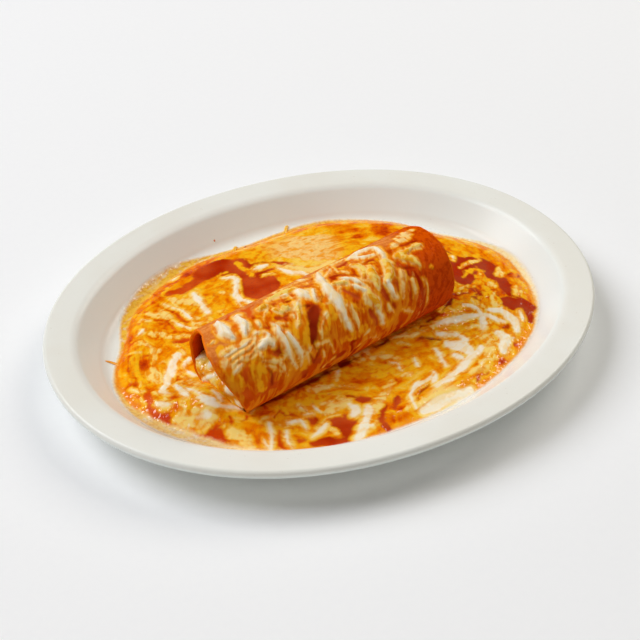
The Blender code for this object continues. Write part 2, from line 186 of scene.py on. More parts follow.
CHEESE_TO = math.radians(296)
CHEESE_FADE = 0.3
END_FADE = 0.002
THINNED_FROM = 142
THINNED_OVER = 50
INNER_SHARES = (1.0, 0.995, 0.97, 0.9, 0.7, 0.5, 0.3, 0.1, 0.03, 0.005, 0.0)
BESIDE_ROLL = 0.38 * ROLL_WIDTH
ROLL_STRANDS = 90
ROLL_SPREAD = (
    (ROLL_LEFT_END + 0.018, ROLL_LEFT_END + ROLL_LENGTH - 0.036),
    (math.radians(64) * ROLL_ARC_RADIUS, math.radians(208) * ROLL_ARC_RADIUS),
)

# Heights down which a line of sight is followed until it meets the food, or the platter
SIGHT_HEIGHTS = np.linspace(0.060, 0.010, 300)
PLATTER_HEIGHTS = np.linspace(RIM_HEIGHT + 0.002, FLOOR_HEIGHT, 200)
SIGHT_ROUNDS = 6

# Filling
FILLING_SPILL = 0.0010
FILLING_HOLLOW = 0.0180
FILLING_LEVEL = 0.30
FILLING_SLOPE = 0.30
FILLING_RIGHT_DEPTH = 0.0080
FILLING_SLANT = 0.0060
FILLING_LUMP = 0.0012
CUT_GAP = 0.0004
FILLING_SIDES = 120
FILLING_FACE_ROWS = 36
FILLING_RINGS = 14
FILLING_CENTRE = 0.02
FILLING_RIGHT_SHARES = (0.66, 0.33, FILLING_CENTRE)
FILLING_END_RATE = 3
FILLING_STRANDS = 24
FILLING_SPREAD = ((-0.018, 0.018), (0.011, 0.027))
FILLING_LUMP_RATE = 140
FILLING_RED_WIDTH = 0.060
FILLING_RED_TOP = ((-0.03, 0.0585), (0.0, 0.0575), (0.03, 0.0585))

# Cheese
# The dark kind is partly painted shade, in hollows, slits and along the roll's foot, and partly dark burnt
# sauce
KINDS = ("red", "dark", "yellow", "pale", "white")
FAR_OUTSIDE = -0.004
CHEESES = ("yellow", "pale", "white")
RISE = {"red": 0.00020, "dark": 0.00020, "yellow": 0.00020, "pale": 0.00030, "white": 0.00040}
DOME_FULLNESS = 1.15
CLEARING = 0.0010
TAPER = 0.30
SWELL = 0.0007
SWELL_SIZE = 0.0045
WARP = ((0.0008, 0.0060, 0), (0.0002, 0.0028, 2))
THINNING = 0.0009
STREAK_LENGTH = 0.0105
STREAK_WIDTH = 0.0038
STREAK_SWAY = 0.0040
POOL_SWAY_SIZE = 0.0240
ROLL_SWAY_SIZE = 0.0200
STREAK_BEND = 0.16
STREAK_BEND_SIZE = 0.0300
STREAK_SLANT = 0.35
STREAK_INSET = 0.0400

# Seeded short strands: how much each varies, and kind, width, length and weight of those on each piece
STRAND_WIDTHS = (0.7, 1.3)
STRAND_LENGTHS = (0.6, 1.4)
STRAND_HEIGHTS = (0.6, 1.2)
STRAND_BEND = 1.1
STRAND_STRAY = 0.5
HEADING_TURNS = 3.2
HEADING_DRIFT = 28
TRIES_PER_STRAND = 20
POOL_SCATTER = (
    ("red", 0.0015, 0.008, 4),
    ("yellow", 0.0026, 0.009, 5),
    ("pale", 0.0019, 0.008, 4),
    ("white", 0.0020, 0.007, 1),
)
ROLL_SCATTER = (
    ("red", 0.0028, 0.009, 5),
    ("yellow", 0.0022, 0.009, 2),
    ("pale", 0.0016, 0.011, 3),
    ("white", 0.0014, 0.009, 1),
)
FILLING_SCATTER = (
    ("red", 0.0016, 0.007, 2),
    ("yellow", 0.0026, 0.008, 3),
    ("pale", 0.0022, 0.008, 4),
    ("white", 0.0020, 0.007, 2),
)

# Seeds of the melted edges, the short strands, the streaks and the tone
POOL_SEED = 20
ROLL_SEED = 40
FILLING_SEED = 60
POOL_STRAND_SEED = 5
ROLL_STRAND_SEED = 9
FILLING_STRAND_SEED = 3
POOL_SWAY_SEED = 31
POOL_BEND_SEED = 32
POOL_TONE_SEED = 33
ROLL_SWAY_SEED = 44

# How far the pool's tone wanders everywhere, and over what size
TONE_WANDER = 0.05
TONE_SIZE = 0.0130

# Parts of the pool that are yellower, or redder below 0: tone, reach in millimetres, pixel in the photograph
POOL_TONES = {
    "yellow sheet in front": (0.02, 17, (350, 378)),
    "yellow sheet to its right": (0.06, 19, (415, 352)),
    "yellow at the right": (0.08, 12, (470, 335)),
    "orange at the far right": (-0.05, 9, (520, 330)),
    "ember left": (-0.06, 15, (158, 322)),
    "front edge": (-0.15, 10, (330, 436)),
    "front edge left": (-0.13, 9, (282, 440)),
    "front edge right": (-0.07, 9, (395, 412)),
    "ember at the left": (-0.09, 12, (135, 392)),
    "tan behind the end": (-0.17, 11, (474, 286)),
    "tan beside it": (-0.12, 9, (502, 272)),
    "left bank": (-0.11, 13, (136, 346)),
    "below it": (-0.14, 9, (178, 430)),
    "band behind": (-0.22, 7, (190, 272)),
    "band at the left": (-0.16, 8, (150, 298)),
    "right corner": (-0.10, 8, (524, 300)),
    "cheddar behind": (0.27, 33, (306, 251)),
    "melt at the rim": (0.30, 13, (450, 398)),
    "behind the roll": (-0.30, 8, (352, 230)),
    "behind the roll's end": (-0.30, 8, (382, 231)),
    "shade by the roll": (-0.10, 8, (300, 385)),
}

# Strands and patches on the pool: kind, width in millimetres, and pixels of the photograph along it
POOL_CHEESE = {
    "red lake behind": ("red", 27, (251, 284), (259, 286)),
    "red lake's top": ("red", 18, (222, 270), (236, 270), (248, 276)),
    "red bay": ("red", 15, (202, 275), (215, 268), (231, 265)),
    "red inlet": ("red", 9, (238, 262), (262, 264)),
    "red wedge": ("red", 7, (170, 294), (186, 288), (200, 279)),
    "red drop left": ("red", 3.6, (178, 314), (183, 318)),
    "red nick left": ("red", 2.4, (174, 305), (180, 307)),
    "red seam behind": ("red", 3.0, (258, 262), (283, 263), (298, 268)),
    "red seam under it": ("red", 2.6, (262, 273), (278, 268)),
    "maroon bay": ("red", 19, (459, 262), (463, 279)),
    "maroon arm": ("red", 10, (470, 259), (486, 266), (497, 278)),
    "right inlet": ("red", 8, (500, 279), (508, 288), (516, 296)),
    "right red": ("red", 14, (508, 302), (528, 305)),
    "right red foot": ("red", 5, (529, 308), (531, 317)),
    "front red": ("red", 15, (333, 425), (352, 424)),
    "front red heel": ("red", 7, (315, 441), (336, 440), (352, 433)),
    "front red top": ("red", 5, (357, 398), (372, 402)),
    "front red slit": ("red", 3.2, (396, 396), (396, 408)),
    "front red tail": ("red", 3.6, (384, 407), (382, 419), (388, 427)),
    "front left red": ("red", 9, (180, 428), (204, 431), (228, 430)),
    "left of it": ("red", 6.5, (145, 393), (153, 405), (166, 417), (182, 427)),
    "red by the drop": ("red", 7.5, (278, 433), (285, 442)),
    "small red": ("red", 5.5, (264, 422), (272, 424)),
    "second small red": ("red", 5.5, (308, 420), (316, 422)),
    # Painted shadow: dark strokes along the roll's foot, where it sits in the sauce
    "painted shadow under the roll": ("dark", 3.4, (262, 404), (300, 387), (340, 366), (380, 344), (418, 323)),
    "painted shadow at the roll's right": ("dark", 3.0, (428, 322), (440, 313), (452, 300)),
    "spot of burnt sauce": ("dark", 1.8, (282, 407), (285, 407)),
    "line over the arc": ("red", 2.0, (333, 402), (345, 396), (360, 397)),
    "line under the chip": ("red", 2.4, (336, 388), (358, 390)),
    "brown line": ("dark", 1.8, (419, 400), (422, 390), (432, 382)),
    "brown spot": ("dark", 3.0, (504, 322), (507, 328)),
    "thin brown line": ("dark", 1.6, (448, 337), (455, 337)),
    "long brown line": ("dark", 2.0, (420, 338), (440, 340)),
    "heap dark": ("dark", 2.4, (200, 394), (210, 395)),
    "heap slit": ("dark", 1.8, (193, 381), (199, 386)),
    "left ember": ("red", 5, (176, 341), (190, 338)),
    "cheddar sheet left": ("yellow", 20, (256, 255), (278, 246), (300, 243)),
    "cheddar sheet": ("yellow", 26, (296, 250), (322, 247), (345, 245)),
    "cheddar chip behind": ("yellow", 4.4, (237, 263), (245, 269), (252, 275)),
    "small cheddar chip": ("yellow", 2.6, (218, 276), (226, 273)),
    "cheddar blob": ("yellow", 6.5, (203, 288), (222, 286)),
    "bright cheddar": ("yellow", 9, (211, 300), (221, 306)),
    "orange flow": ("yellow", 4.4, (476, 276), (486, 290), (500, 302)),
    "orange flow's arm": ("yellow", 2.6, (462, 276), (472, 270), (482, 272)),
    "rim tongue": ("yellow", 3.4, (446, 244), (457, 249)),
    "upper bead": ("yellow", 2.8, (460, 252), (466, 252)),
    "second bead": ("yellow", 3.6, (471, 254), (477, 257)),
    "melted bubble": ("yellow", 5.6, (513, 279), (516, 280)),
    "small bubble": ("yellow", 3.8, (525, 287), (527, 288)),
    "amber below it": ("yellow", 4.6, (129, 379), (139, 382)),
    "amber at the left end": ("yellow", 5.5, (140, 349), (134, 361), (137, 373), (146, 381)),
    "heap cheddar": ("yellow", 7, (203, 372), (217, 367)),
    "heap cheddar below": ("yellow", 9, (213, 391), (231, 392)),
    "near cheddar": ("yellow", 9, (425, 397), (445, 391), (458, 386)),
    "cheddar in the white": ("yellow", 4, (468, 326), (478, 325)),
    "cheddar on the right": ("yellow", 5, (488, 324), (492, 331), (484, 345)),
    "front cheddar": ("yellow", 10, (288, 405), (320, 398)),
    "front cheddar right": ("yellow", 10, (350, 372), (380, 372), (410, 366)),
    "cheddar fold": ("yellow", 5, (318, 393), (340, 391), (362, 392)),
    "chip beside the bend": ("pale", 3.6, (222, 293), (233, 294)),
    "pale blob left": ("pale", 6.5, (184, 300), (196, 303)),
    "strand on the wedge": ("pale", 3.2, (168, 299), (182, 302)),
    "second left strand": ("pale", 2.4, (174, 303), (186, 312), (198, 318)),
    "chip by the corner": ("pale", 3.4, (191, 318), (198, 327)),
    "left field": ("pale", 5, (148, 313), (170, 318)),
    "left pair": ("pale", 3.6, (158, 333), (166, 334)),
    "left pair below": ("pale", 3.6, (168, 337), (178, 336)),
    "pink spot": ("pale", 2.4, (136, 343), (146, 343)),
    "pink spot below": ("pale", 2.4, (131, 352), (139, 352)),
    "left glow": ("pale", 4, (152, 349), (163, 350)),
    "field by the thick strand": ("pale", 8, (152, 370), (159, 381)),
    "pale patch low": ("pale", 6.5, (177, 415), (186, 416)),
    "heap line": ("pale", 2.6, (180, 374), (194, 383), (206, 386)),
    "orange tan sheet edge": ("pale", 5, (288, 266), (310, 270), (335, 262)),
    "thin chip behind": ("pale", 2.0, (262, 276), (275, 273)),
    "curved line": ("pale", 1.8, (461, 267), (469, 263), (478, 260)),
    "bubble": ("pale", 4.4, (488, 283), (493, 286)),
    "strip by the bubble": ("pale", 3.0, (499, 267), (501, 276)),
    "strip below the bubble": ("pale", 2.8, (515, 287), (517, 293)),
    "melt at the rim": ("pale", 15, (426, 407), (446, 400), (470, 388)),
    "front band": ("pale", 5.2, (393, 382), (384, 394), (377, 404), (372, 414)),
    "front line": ("pale", 3.4, (310, 391), (322, 387), (333, 386)),
    "arc tail": ("pale", 5.6, (327, 413), (337, 405), (349, 400)),
    "chip in the red": ("pale", 3.6, (331, 429), (339, 434)),
    "flat chip": ("pale", 3.8, (322, 404), (334, 401)),
    "front curl": ("pale", 5, (231, 429), (241, 433), (252, 444)),
    "line beside the roll": ("pale", 2.8, (370, 358), (386, 357), (398, 358)),
    "line at the roll": ("pale", 2.6, (350, 357), (362, 353), (372, 349)),
    "line at the roll's right": ("pale", 2.8, (393, 338), (408, 335), (428, 330)),
    "small chip right": ("pale", 2.6, (402, 377), (411, 374)),
    "right patch": ("pale", 6, (484, 333), (491, 345), (486, 356)),
    "right toe": ("pale", 4, (470, 372), (486, 366)),
    "bent strand": ("white", 4.5, (223, 279), (235, 279), (238, 297), (256, 304)),
    "prong of it": ("white", 2.4, (237, 297), (241, 307)),
    "chip behind": ("white", 4.6, (254, 269), (267, 265)),
    "melt at the back": ("white", 4.6, (278, 268), (292, 272), (312, 276)),
    "diagonal strand": ("white", 5.0, (194, 293), (201, 304), (207, 313)),
    "thin left strand": ("white", 2.9, (163, 305), (178, 309), (191, 319)),
    "low left strand": ("white", 2.9, (173, 322), (190, 328)),
    "left spot": ("white", 2.8, (142, 320), (150, 320)),
    "left dab": ("white", 3.1, (138, 334), (142, 330)),
    "thick left strand": ("white", 5.9, (177, 355), (172, 367), (168, 380), (162, 392)),
    "foot of it": ("white", 3.7, (160, 392), (170, 394)),
    "low patch": ("white", 4, (157, 403), (171, 404)),
    "large low patch": ("pale", 8.5, (193, 415), (213, 413)),
    "white of it": ("white", 3.4, (196, 415), (211, 413)),
    "strand to the heap": ("white", 4.2, (174, 386), (188, 397)),
    "strand in the heap": ("white", 2.4, (186, 388), (203, 396), (216, 400)),
    "long strand by the heap": ("white", 3.1, (197, 398), (216, 404), (241, 409)),
    "cream at the rim": ("white", 9, (424, 408), (446, 398), (470, 387)),
    "mass by the roll": ("white", 10.0, (449, 345), (460, 346), (469, 351)),
    "mass above": ("white", 5.2, (438, 334), (455, 335), (467, 340)),
    "mass below": ("white", 6.4, (453, 354), (465, 359)),
    "long diagonal": ("white", 5.8, (482, 347), (466, 362), (451, 377), (436, 387)),
    "short leg": ("white", 4.2, (436, 350), (441, 356), (446, 366)),
    "band to the right": ("white", 5.5, (438, 324), (455, 320), (470, 316), (487, 316), (503, 322)),
    "band above": ("white", 4.8, (464, 304), (475, 307), (482, 317), (482, 329)),
    "band's end": ("white", 6.0, (490, 310), (506, 312), (513, 321), (516, 329)),
    "right lump": ("white", 7.0, (497, 333), (504, 337), (503, 349)),
    "right chip": ("white", 3.8, (521, 311), (522, 318)),
    "bead": ("white", 2.6, (452, 256), (453, 259)),
    "hook": ("white", 3.7, (434, 373), (426, 380), (414, 388), (412, 398), (416, 407)),
    "hook's leaf": ("white", 4, (436, 374), (432, 382)),
    "fleck": ("white", 2.9, (390, 362), (398, 364), (402, 370)),
    "standing fleck": ("white", 2.9, (415, 357), (416, 366)),
    "front drop": ("white", 6.0, (369, 407), (366, 421), (362, 431), (356, 438)),
    "front arc": ("white", 4.8, (350, 403), (357, 409), (353, 415)),
    "front chip": ("white", 2.2, (341, 386), (357, 387)),
    "front diagonal": ("white", 3.7, (312, 436), (327, 423)),
    "front bow": ("white", 3.6, (286, 423), (300, 421), (307, 430)),
    "front leg": ("white", 3.4, (286, 431), (288, 439), (293, 445)),
    "front post": ("white", 3.8, (269, 422), (271, 433), (270, 446)),
    "branch of it": ("white", 2.4, (262, 437), (272, 447)),
    "small white": ("white", 2.9, (304, 415), (312, 414)),
    "small white right": ("white", 2.9, (313, 407), (319, 412)),
}

# Strands and lumps on the roll, in the same way, with the height of each in millimetres
ROLL_CHEESE = {
    "hollow in shade": ("dark", 7.5, 0.4, (313, 308), (312, 322), (311, 340)),
    "hollow's left edge": ("dark", 3.0, 0.4, (301, 307), (309, 306)),
    "red window": ("red", 5.5, 0.4, (263, 328), (271, 328)),
    "red window below": ("dark", 6, 0.4, (273, 346), (281, 350)),
    "red under it": ("red", 2.6, 0.4, (272, 355), (282, 356)),
    "dark line by the clump": ("dark", 1.8, 0.3, (270, 305), (275, 311), (279, 316)),
    "red under the clump": ("red", 3.2, 0.4, (275, 317), (282, 321)),
    "red nick by the clump": ("red", 3.0, 0.4, (283, 305), (290, 301)),
    "red nick right of it": ("red", 2.8, 0.4, (285, 317), (291, 315)),
    "red between lobes and strand": ("red", 4.6, 0.4, (379, 285), (386, 294), (394, 306)),
    "red beside the strand": ("red", 4.2, 0.4, (371, 312), (376, 322)),
    "red right of the lobe": ("red", 4.2, 0.4, (396, 262), (398, 280), (399, 292)),
    "red line under the cap": ("red", 2.0, 0.4, (362, 267), (368, 262), (375, 262), (380, 267)),
    "red line left of it": ("red", 1.8, 0.4, (330, 277), (345, 275), (361, 277)),
    "red under the streak": ("red", 2.6, 0.4, (343, 291), (350, 294), (358, 297)),
    "pit": ("dark", 2.4, 0.4, (320, 297), (323, 302)),
    "red under the forked piece": ("red", 3.0, 0.4, (392, 265), (402, 268), (414, 268)),
    "red above it": ("red", 2.0, 0.4, (396, 246), (406, 245), (418, 240)),
    "red streak": ("red", 1.8, 0.3, (407, 266), (411, 282), (412, 300)),
    "red streak right": ("red", 2.2, 0.3, (415, 270), (421, 290), (423, 306)),
    "slit in the fork": ("dark", 1.3, 0.3, (286, 336), (289, 343), (293, 352)),
    "left red edge": ("red", 4.0, 0.3, (249, 362), (246, 374), (243, 386)),
    "red foot": ("red", 5.0, 0.3, (244, 390), (252, 399)),
    "brown lines low": ("dark", 1.6, 0.3, (266, 370), (271, 377), (273, 384)),
    "brown slit low": ("dark", 2.0, 0.3, (313, 345), (318, 352), (313, 362)),
    "brown slit": ("dark", 2.0, 0.3, (308, 350), (310, 364)),
    "amber column": ("yellow", 9, 0.5, (296, 304), (301, 318), (300, 334), (304, 352), (304, 368)),
    "amber by the pillows": ("yellow", 5, 0.4, (250, 322), (248, 333)),
    "amber by the clump": ("yellow", 7, 0.5, (283, 308), (292, 306)),
    "amber right of the hollow": ("yellow", 6, 0.5, (326, 300), (329, 314), (326, 330)),
    "amber top": ("yellow", 5.5, 0.5, (333, 284), (344, 284)),
    "amber on the cap": ("yellow", 3.6, 0.3, (340, 268), (350, 267)),
    "amber low": ("yellow", 9, 0.4, (256, 366), (262, 378), (262, 388)),
    "amber knee": ("yellow", 6, 0.4, (254, 354), (268, 358)),
    "amber at the foot": ("yellow", 7, 0.3, (345, 340), (356, 333), (366, 326)),
    "amber foot right": ("yellow", 6, 0.3, (383, 326), (394, 316)),
    "forked piece": ("pale", 5.4, 1.0, (395, 258), (406, 251), (421, 245)),
    "forked piece's arm": ("pale", 5.2, 1.0, (397, 256), (408, 259), (420, 264)),
    "forked piece's heel": ("pale", 6.0, 1.0, (397, 257), (405, 256)),
    "dot": ("yellow", 2.4, 0.5, (430, 266), (432, 267)),
    "streak": ("pale", 3.0, 0.4, (401, 270), (404, 284), (404, 298)),
    "second streak": ("pale", 1.8, 0.3, (412, 280), (415, 294), (413, 308)),
    "third streak": ("pale", 2.2, 0.3, (424, 279), (427, 292), (425, 306)),
    "foot of the streaks": ("pale", 2.8, 0.3, (402, 309), (412, 311)),
    "tan top": ("pale", 3.0, 0.3, (390, 248), (402, 240), (410, 234)),
    # Painted sheen: a pale peach streak on the roll's top near its right end, where light glances off it
    "painted sheen on the top": ("pale", 5.0, 0.3, (398, 238), (410, 231)),
    "tan strand": ("pale", 5.6, 0.9, (367, 288), (373, 299), (380, 311)),
    "amber by the lip": ("yellow", 6, 0.3, (221, 350), (231, 369), (243, 388)),
    "ground of the tines": ("pale", 10, 0.4, (228, 363), (240, 354), (254, 341)),
    "line in the comb": ("red", 0.9, 0.2, (230, 358), (242, 349), (252, 340)),
    "second line": ("red", 0.8, 0.2, (232, 364), (243, 356), (253, 346)),
    "third line": ("red", 0.8, 0.2, (236, 368), (246, 361), (254, 352)),
    "tine": ("white", 1.2, 0.3, (225, 357), (240, 348), (257, 332)),
    "second tine": ("pale", 1.4, 0.3, (229, 362), (242, 353), (257, 339)),
    "third tine": ("pale", 1.4, 0.3, (232, 367), (245, 358), (254, 348)),
    "white tine low": ("white", 2.9, 0.6, (236, 372), (243, 366)),
    "knob": ("pale", 5.4, 1.7, (262, 310), (266, 306)),
    "golden knob": ("pale", 4.6, 1.5, (282, 305), (288, 309)),
    "golden drip": ("pale", 5.0, 1.1, (296, 304), (299, 314), (298, 326)),
    "golden blob": ("pale", 5.0, 1.3, (334, 284), (344, 284)),
    "clump": ("pale", 7.4, 1.6, (271, 300), (281, 294), (292, 290)),
    "clump below": ("pale", 4.6, 1.4, (276, 310), (284, 312)),
    "pale back edge": ("pale", 2.6, 0.4, (272, 294), (283, 289), (296, 283)),
    "lobe": ("pale", 7.0, 1.6, (370, 268), (372, 276), (376, 284)),
    "second lobe": ("pale", 7.8, 1.6, (384, 262), (390, 270), (388, 282)),
    "pale fold": ("pale", 5.0, 0.8, (352, 266), (362, 268), (364, 278)),
    "pale back of the cap": ("pale", 4.0, 0.6, (318, 272), (330, 266), (344, 259)),
    "arch low": ("pale", 2.4, 0.5, (263, 362), (275, 362), (282, 368), (287, 376)),
    "arch inside": ("pale", 1.6, 0.4, (266, 367), (276, 370), (281, 378)),
    "shaded strand": ("pale", 3.0, 0.6, (317, 345), (328, 342), (334, 352)),
    "shaded strand left": ("pale", 2.6, 0.5, (304, 356), (310, 348)),
    "shaded leg": ("pale", 2.4, 0.5, (321, 350), (326, 358)),
    "faint strand": ("pale", 3.0, 0.4, (350, 306), (356, 318), (358, 330)),
    "faint strand right": ("pale", 2.6, 0.4, (389, 304), (394, 313)),
    "edge chip": ("pale", 2.0, 0.5, (211, 345), (215, 341)),
    "by the comb": ("pale", 2.4, 0.5, (222, 356), (230, 350)),
    "first pillow": ("white", 7.6, 2.2, (219, 324), (224, 330), (230, 338)),
    "second pillow": ("white", 6.0, 1.8, (238, 317), (243, 325), (245, 334)),
    "small pillow": ("white", 2.2, 1.0, (258, 322), (259, 326)),
    "pink lump": ("white", 4.4, 1.4, (260, 346), (266, 340), (272, 344)),
    "pink ridge": ("white", 2, 0.9, (263, 331), (267, 336), (260, 341)),
    "forked strand": ("white", 3.4, 1.1, (275, 328), (284, 342), (290, 356), (297, 368)),
    "fork's other arm": ("white", 2.8, 1.0, (287, 332), (295, 342), (302, 355), (302, 366)),
    "forked strand's head": ("white", 2.9, 0.9, (272, 322), (279, 330)),
    "thin strand beside": ("white", 1.7, 0.5, (306, 352), (309, 364)),
    "long strand": ("white", 5.0, 1.3, (317, 274), (327, 288), (338, 302), (345, 318)),
    "long strand's foot": ("white", 3.4, 0.5, (345, 320), (352, 330)),
    "upper mass": ("white", 6.6, 1.5, (299, 291), (307, 297)),
    "upper mass right": ("white", 3.9, 1.2, (313, 290), (315, 300)),
    "upper chip": ("white", 2.5, 0.8, (296, 282), (308, 280)),
    "chip by the clump": ("white", 2.4, 0.9, (279, 298), (286, 295)),
    "cap": ("white", 5.4, 1.1, (349, 259), (360, 252), (374, 249), (382, 257)),
    "cap's lower edge": ("white", 4.4, 0.9, (349, 259), (360, 258), (373, 255)),
    "white streak": ("white", 2.9, 0.8, (342, 279), (354, 280), (366, 286)),
    "white streak's end": ("white", 3.4, 0.8, (352, 286), (366, 290)),
    "white beside the lobe": ("white", 3.6, 1.0, (388, 282), (393, 289), (396, 296)),
    "low white": ("white", 3.8, 0.9, (378, 312), (384, 322)),
    "speck": ("white", 2.2, 0.8, (293, 315), (294, 318)),
    "second speck": ("white", 1.5, 0.7, (323, 318), (326, 313)),
}

# Cheese and sauce on the filling where it shows in the roll's left end
HEAP_CHEESE = {
    "top of the heap": ("white", 3.2, 0.6, (186, 362), (197, 358), (205, 357)),
    "strand down the heap": ("white", 2.6, 0.6, (190, 358), (186, 368), (196, 376)),
    "cheddar": ("yellow", 7, 0.6, (203, 371), (218, 366)),
    "white curl": ("white", 3.4, 0.9, (211, 377), (217, 373), (219, 369)),
    "white bar": ("white", 4.2, 0.8, (203, 379), (214, 377)),
    "cheddar below": ("yellow", 8, 0.6, (214, 388), (230, 394)),
    "pillow": ("white", 5.6, 1.2, (229, 383), (232, 394)),
    "dark nick": ("dark", 2.8, 0.3, (203, 364), (206, 365)),
    "chip beside it": ("white", 3.0, 0.7, (212, 361), (214, 366)),
    "red gap": ("red", 3.2, 0.3, (239, 390), (243, 400)),
    # Painted highlight: small white bits where glints shine on the heap
    "painted glints": ("white", 2.4, 0.7, (236, 399), (243, 407)),
}

# Crumbs on the glaze: shade from red to yellow, width and height in millimetres, pixels along each
CRUMBS = {
    "shred at the back": (1.0, 2.3, 1.0, (286, 235), (286, 230), (288, 226)),
    "nub at the back": (0.95, 2.4, 0.9, (234, 253), (235, 249), (237, 247)),
    "brown speck on the wall": (0.55, 0.9, 0.3, (214, 240), (215, 242)),
    "red dot": (0.1, 2.0, 0.8, (244, 248), (247, 248)),
    "spike of sauce": (0.75, 1.7, 0.4, (105, 361), (112, 363), (121, 367), (128, 372)),
}
CRUMB_SIDES = 12
CRUMB_TIP_WIDTH = 0.08
CRUMB_TIP_HEIGHT = 0.1
CRUMB_SINK = 0.0001


def colour(red, green, blue):
    """A colour seen on a screen, 0 to 255, as the linear values that shaders take."""
    def linear(value):
        value /= 255
        return value / 12.92 if value <= 0.04045 else ((value + 0.055) / 1.055) ** 2.4
    return (linear(red), linear(green), linear(blue), 1.0)


def smooth_step(share):
    share = np.clip(share, 0.0, 1.0)
    return share * share * (3 - 2 * share)


def bell(distance, reach):
    return np.exp(-((distance / reach) ** 2))


def wrapped_degrees(angle, centre):
    """The angle's distance from centre in degrees, from -180 to 180."""
    return (np.degrees(angle) - centre + 180) % 360 - 180


def soft_noise(*axes):
    """Perlin noise at each place given by its three coordinates."""
    places = np.broadcast_arrays(*axes)
    values = [noise.noise(Vector(place)) for place in zip(*(axis.ravel() for axis in places))]
    return np.array(values).reshape(places[0].shape)


def ring_noise(angle, rate, layer):
    """Noise at each angle that joins up with itself once round."""
    return soft_noise(rate * np.cos(angle), rate * np.sin(angle), layer)


# Shapes that the solids share

def outline_point(angle, inset):
    """Points on the platter's outline, moved in by inset."""
    power = 2 / OUTLINE_POWER
    across = np.cos(angle)
    along = np.sin(angle)
    return (
        (HALF_LENGTH - inset) * np.copysign(np.abs(across) ** power, across),
        (HALF_WIDTH - inset) * np.copysign(np.abs(along) ** power, along),
    )


def inset_of(x, y):
    """How far in from the platter's outline each point lies."""
    low = np.zeros_like(x)
    high = np.full_like(x, HALF_WIDTH - 1e-4)
    for _ in range(INSET_HALVINGS):
        middle = (low + high) / 2
        reach = (np.abs(x) / (HALF_LENGTH - middle)) ** OUTLINE_POWER
        reach += (np.abs(y) / (HALF_WIDTH - middle)) ** OUTLINE_POWER
        high = np.where(reach > 1, middle, high)
        low = np.where(reach > 1, low, middle)
    return low


def rounded(corners):
    """The line through corners of (inset, height, radius), with each corner rounded by an arc."""
    line = [corners[0][:2]]
    for before, corner, after in zip(corners, corners[1:], corners[2:]):
        here = Vector(corner[:2])
        radius = corner[2]
        back = (Vector(before[:2]) - here).normalized()
        ahead = (Vector(after[:2]) - here).normalized()
        half = back.angle(ahead) / 2
        if radius == 0:
            line.append(tuple(here))
            continue
        centre = here + (back + ahead).normalized() * radius / math.sin(half)
        start = here + back * radius / math.tan(half) - centre
        end = here + ahead * radius / math.tan(half) - centre
        sweep = start.angle_signed(end)
        steps = max(1, round(abs(sweep) / ARC_STEP))
        for step in range(steps + 1):
            turn = -sweep * step / steps
            line.append((
                centre.x + start.x * math.cos(turn) - start.y * math.sin(turn),
                centre.y + start.x * math.sin(turn) + start.y * math.cos(turn),
            ))
    line.append(corners[-1][:2])
    return line


def upper_profile():
    """The platter's upper face from its floor out to the lip, as (inset, height)."""
    return rounded((
        (PLAIN_INSET, FLOOR_HEIGHT, 0),
        (FLOOR_INSET, FLOOR_HEIGHT, WELL_ROUNDING),
        (CREST_INSET, RIM_HEIGHT - CREST_DROP, CREST_ROUNDING),
        (0.0, RIM_HEIGHT, LIP_ROUNDING),
        (0.0, RIM_HEIGHT - LIP_DEPTH / 2, 0),
    ))


def lower_profile():
    """The platter's underside from the lip in to the middle, as (inset, height)."""
    foot_inner = FOOT_INSET + FOOT_WIDTH
    return rounded((
        (0.0, RIM_HEIGHT - LIP_DEPTH / 2, 0),
        (0.0, RIM_HEIGHT - LIP_DEPTH, LIP_ROUNDING_BELOW),
        (CREST_INSET - CREST_UNDERCUT, RIM_HEIGHT - LIP_DEPTH - CREST_DROP, UNDERSIDE_ROUNDING),
        (FLOOR_INSET - WALL_UNDERCUT, UNDERSIDE_HEIGHT, UNDERSIDE_ROUNDING),
        (FOOT_INSET - FOOT_DRAFT, UNDERSIDE_HEIGHT, 0),
        (FOOT_INSET, 0.0, 0),
        (foot_inner, 0.0, 0),
        (foot_inner + FOOT_DRAFT, UNDERSIDE_HEIGHT, 0),
        (PLAIN_INSET, UNDERSIDE_HEIGHT, 0),
    ))


def platter_top(inset):
    """The height of the platter's upper face at each inset."""
    profile = np.array(upper_profile())[::-1]
    return np.interp(inset, profile[:, 0], profile[:, 1])


def to_roll(x, y):
    """A place on the table as along the roll, to its right end, and across it, to the back."""
    y = y - ROLL_SIDE
    return (
        x * math.cos(ROLL_YAW) + y * math.sin(ROLL_YAW),
        y * math.cos(ROLL_YAW) - x * math.sin(ROLL_YAW),
    )


def from_roll(along, across, height):
    """Places given along, across and above the table, as rows of x, y and z."""
    x = along * math.cos(ROLL_YAW) - across * math.sin(ROLL_YAW)
    y = along * math.sin(ROLL_YAW) + across * math.cos(ROLL_YAW) + ROLL_SIDE
    return np.stack(np.broadcast_arrays(x, y, height), axis=-1)


def roll_radius(along, angle):
    """The roll's outer radius at an angle counted from its back side, over its top, to its front side."""
    flat = np.abs(np.cos(angle) / (ROLL_WIDTH / 2)) ** ROLL_POWER
    tall = np.abs(np.sin(angle) / (ROLL_HEIGHT / 2)) ** ROLL_POWER
    radius = (flat + tall) ** (-1 / ROLL_POWER)
    upper = smooth_step(0.5 + np.sin(angle))
    round_roll = (ROLL_UNEVEN_ROUND * np.cos(angle), ROLL_UNEVEN_ROUND * np.sin(angle))
    uneven = soft_noise(along * ROLL_UNEVEN_RATE, *round_roll)
    return radius * (1 + ROLL_UNEVEN * upper * uneven)


def roll_point(along, angle, lift):
    """Points at a height above the roll's outer surface, or below it where lift is negative."""
    radius = roll_radius(along, angle) + lift
    return from_roll(along, radius * np.cos(angle), ROLL_MIDDLE + radius * np.sin(angle))


def recess(turn, depth):
    """How far an end is set back at a turn in degrees from its tip, as a round sheet's edge is."""
    return depth * np.sin(np.radians(np.minimum(np.abs(turn), QUARTER_TURN))) ** 2


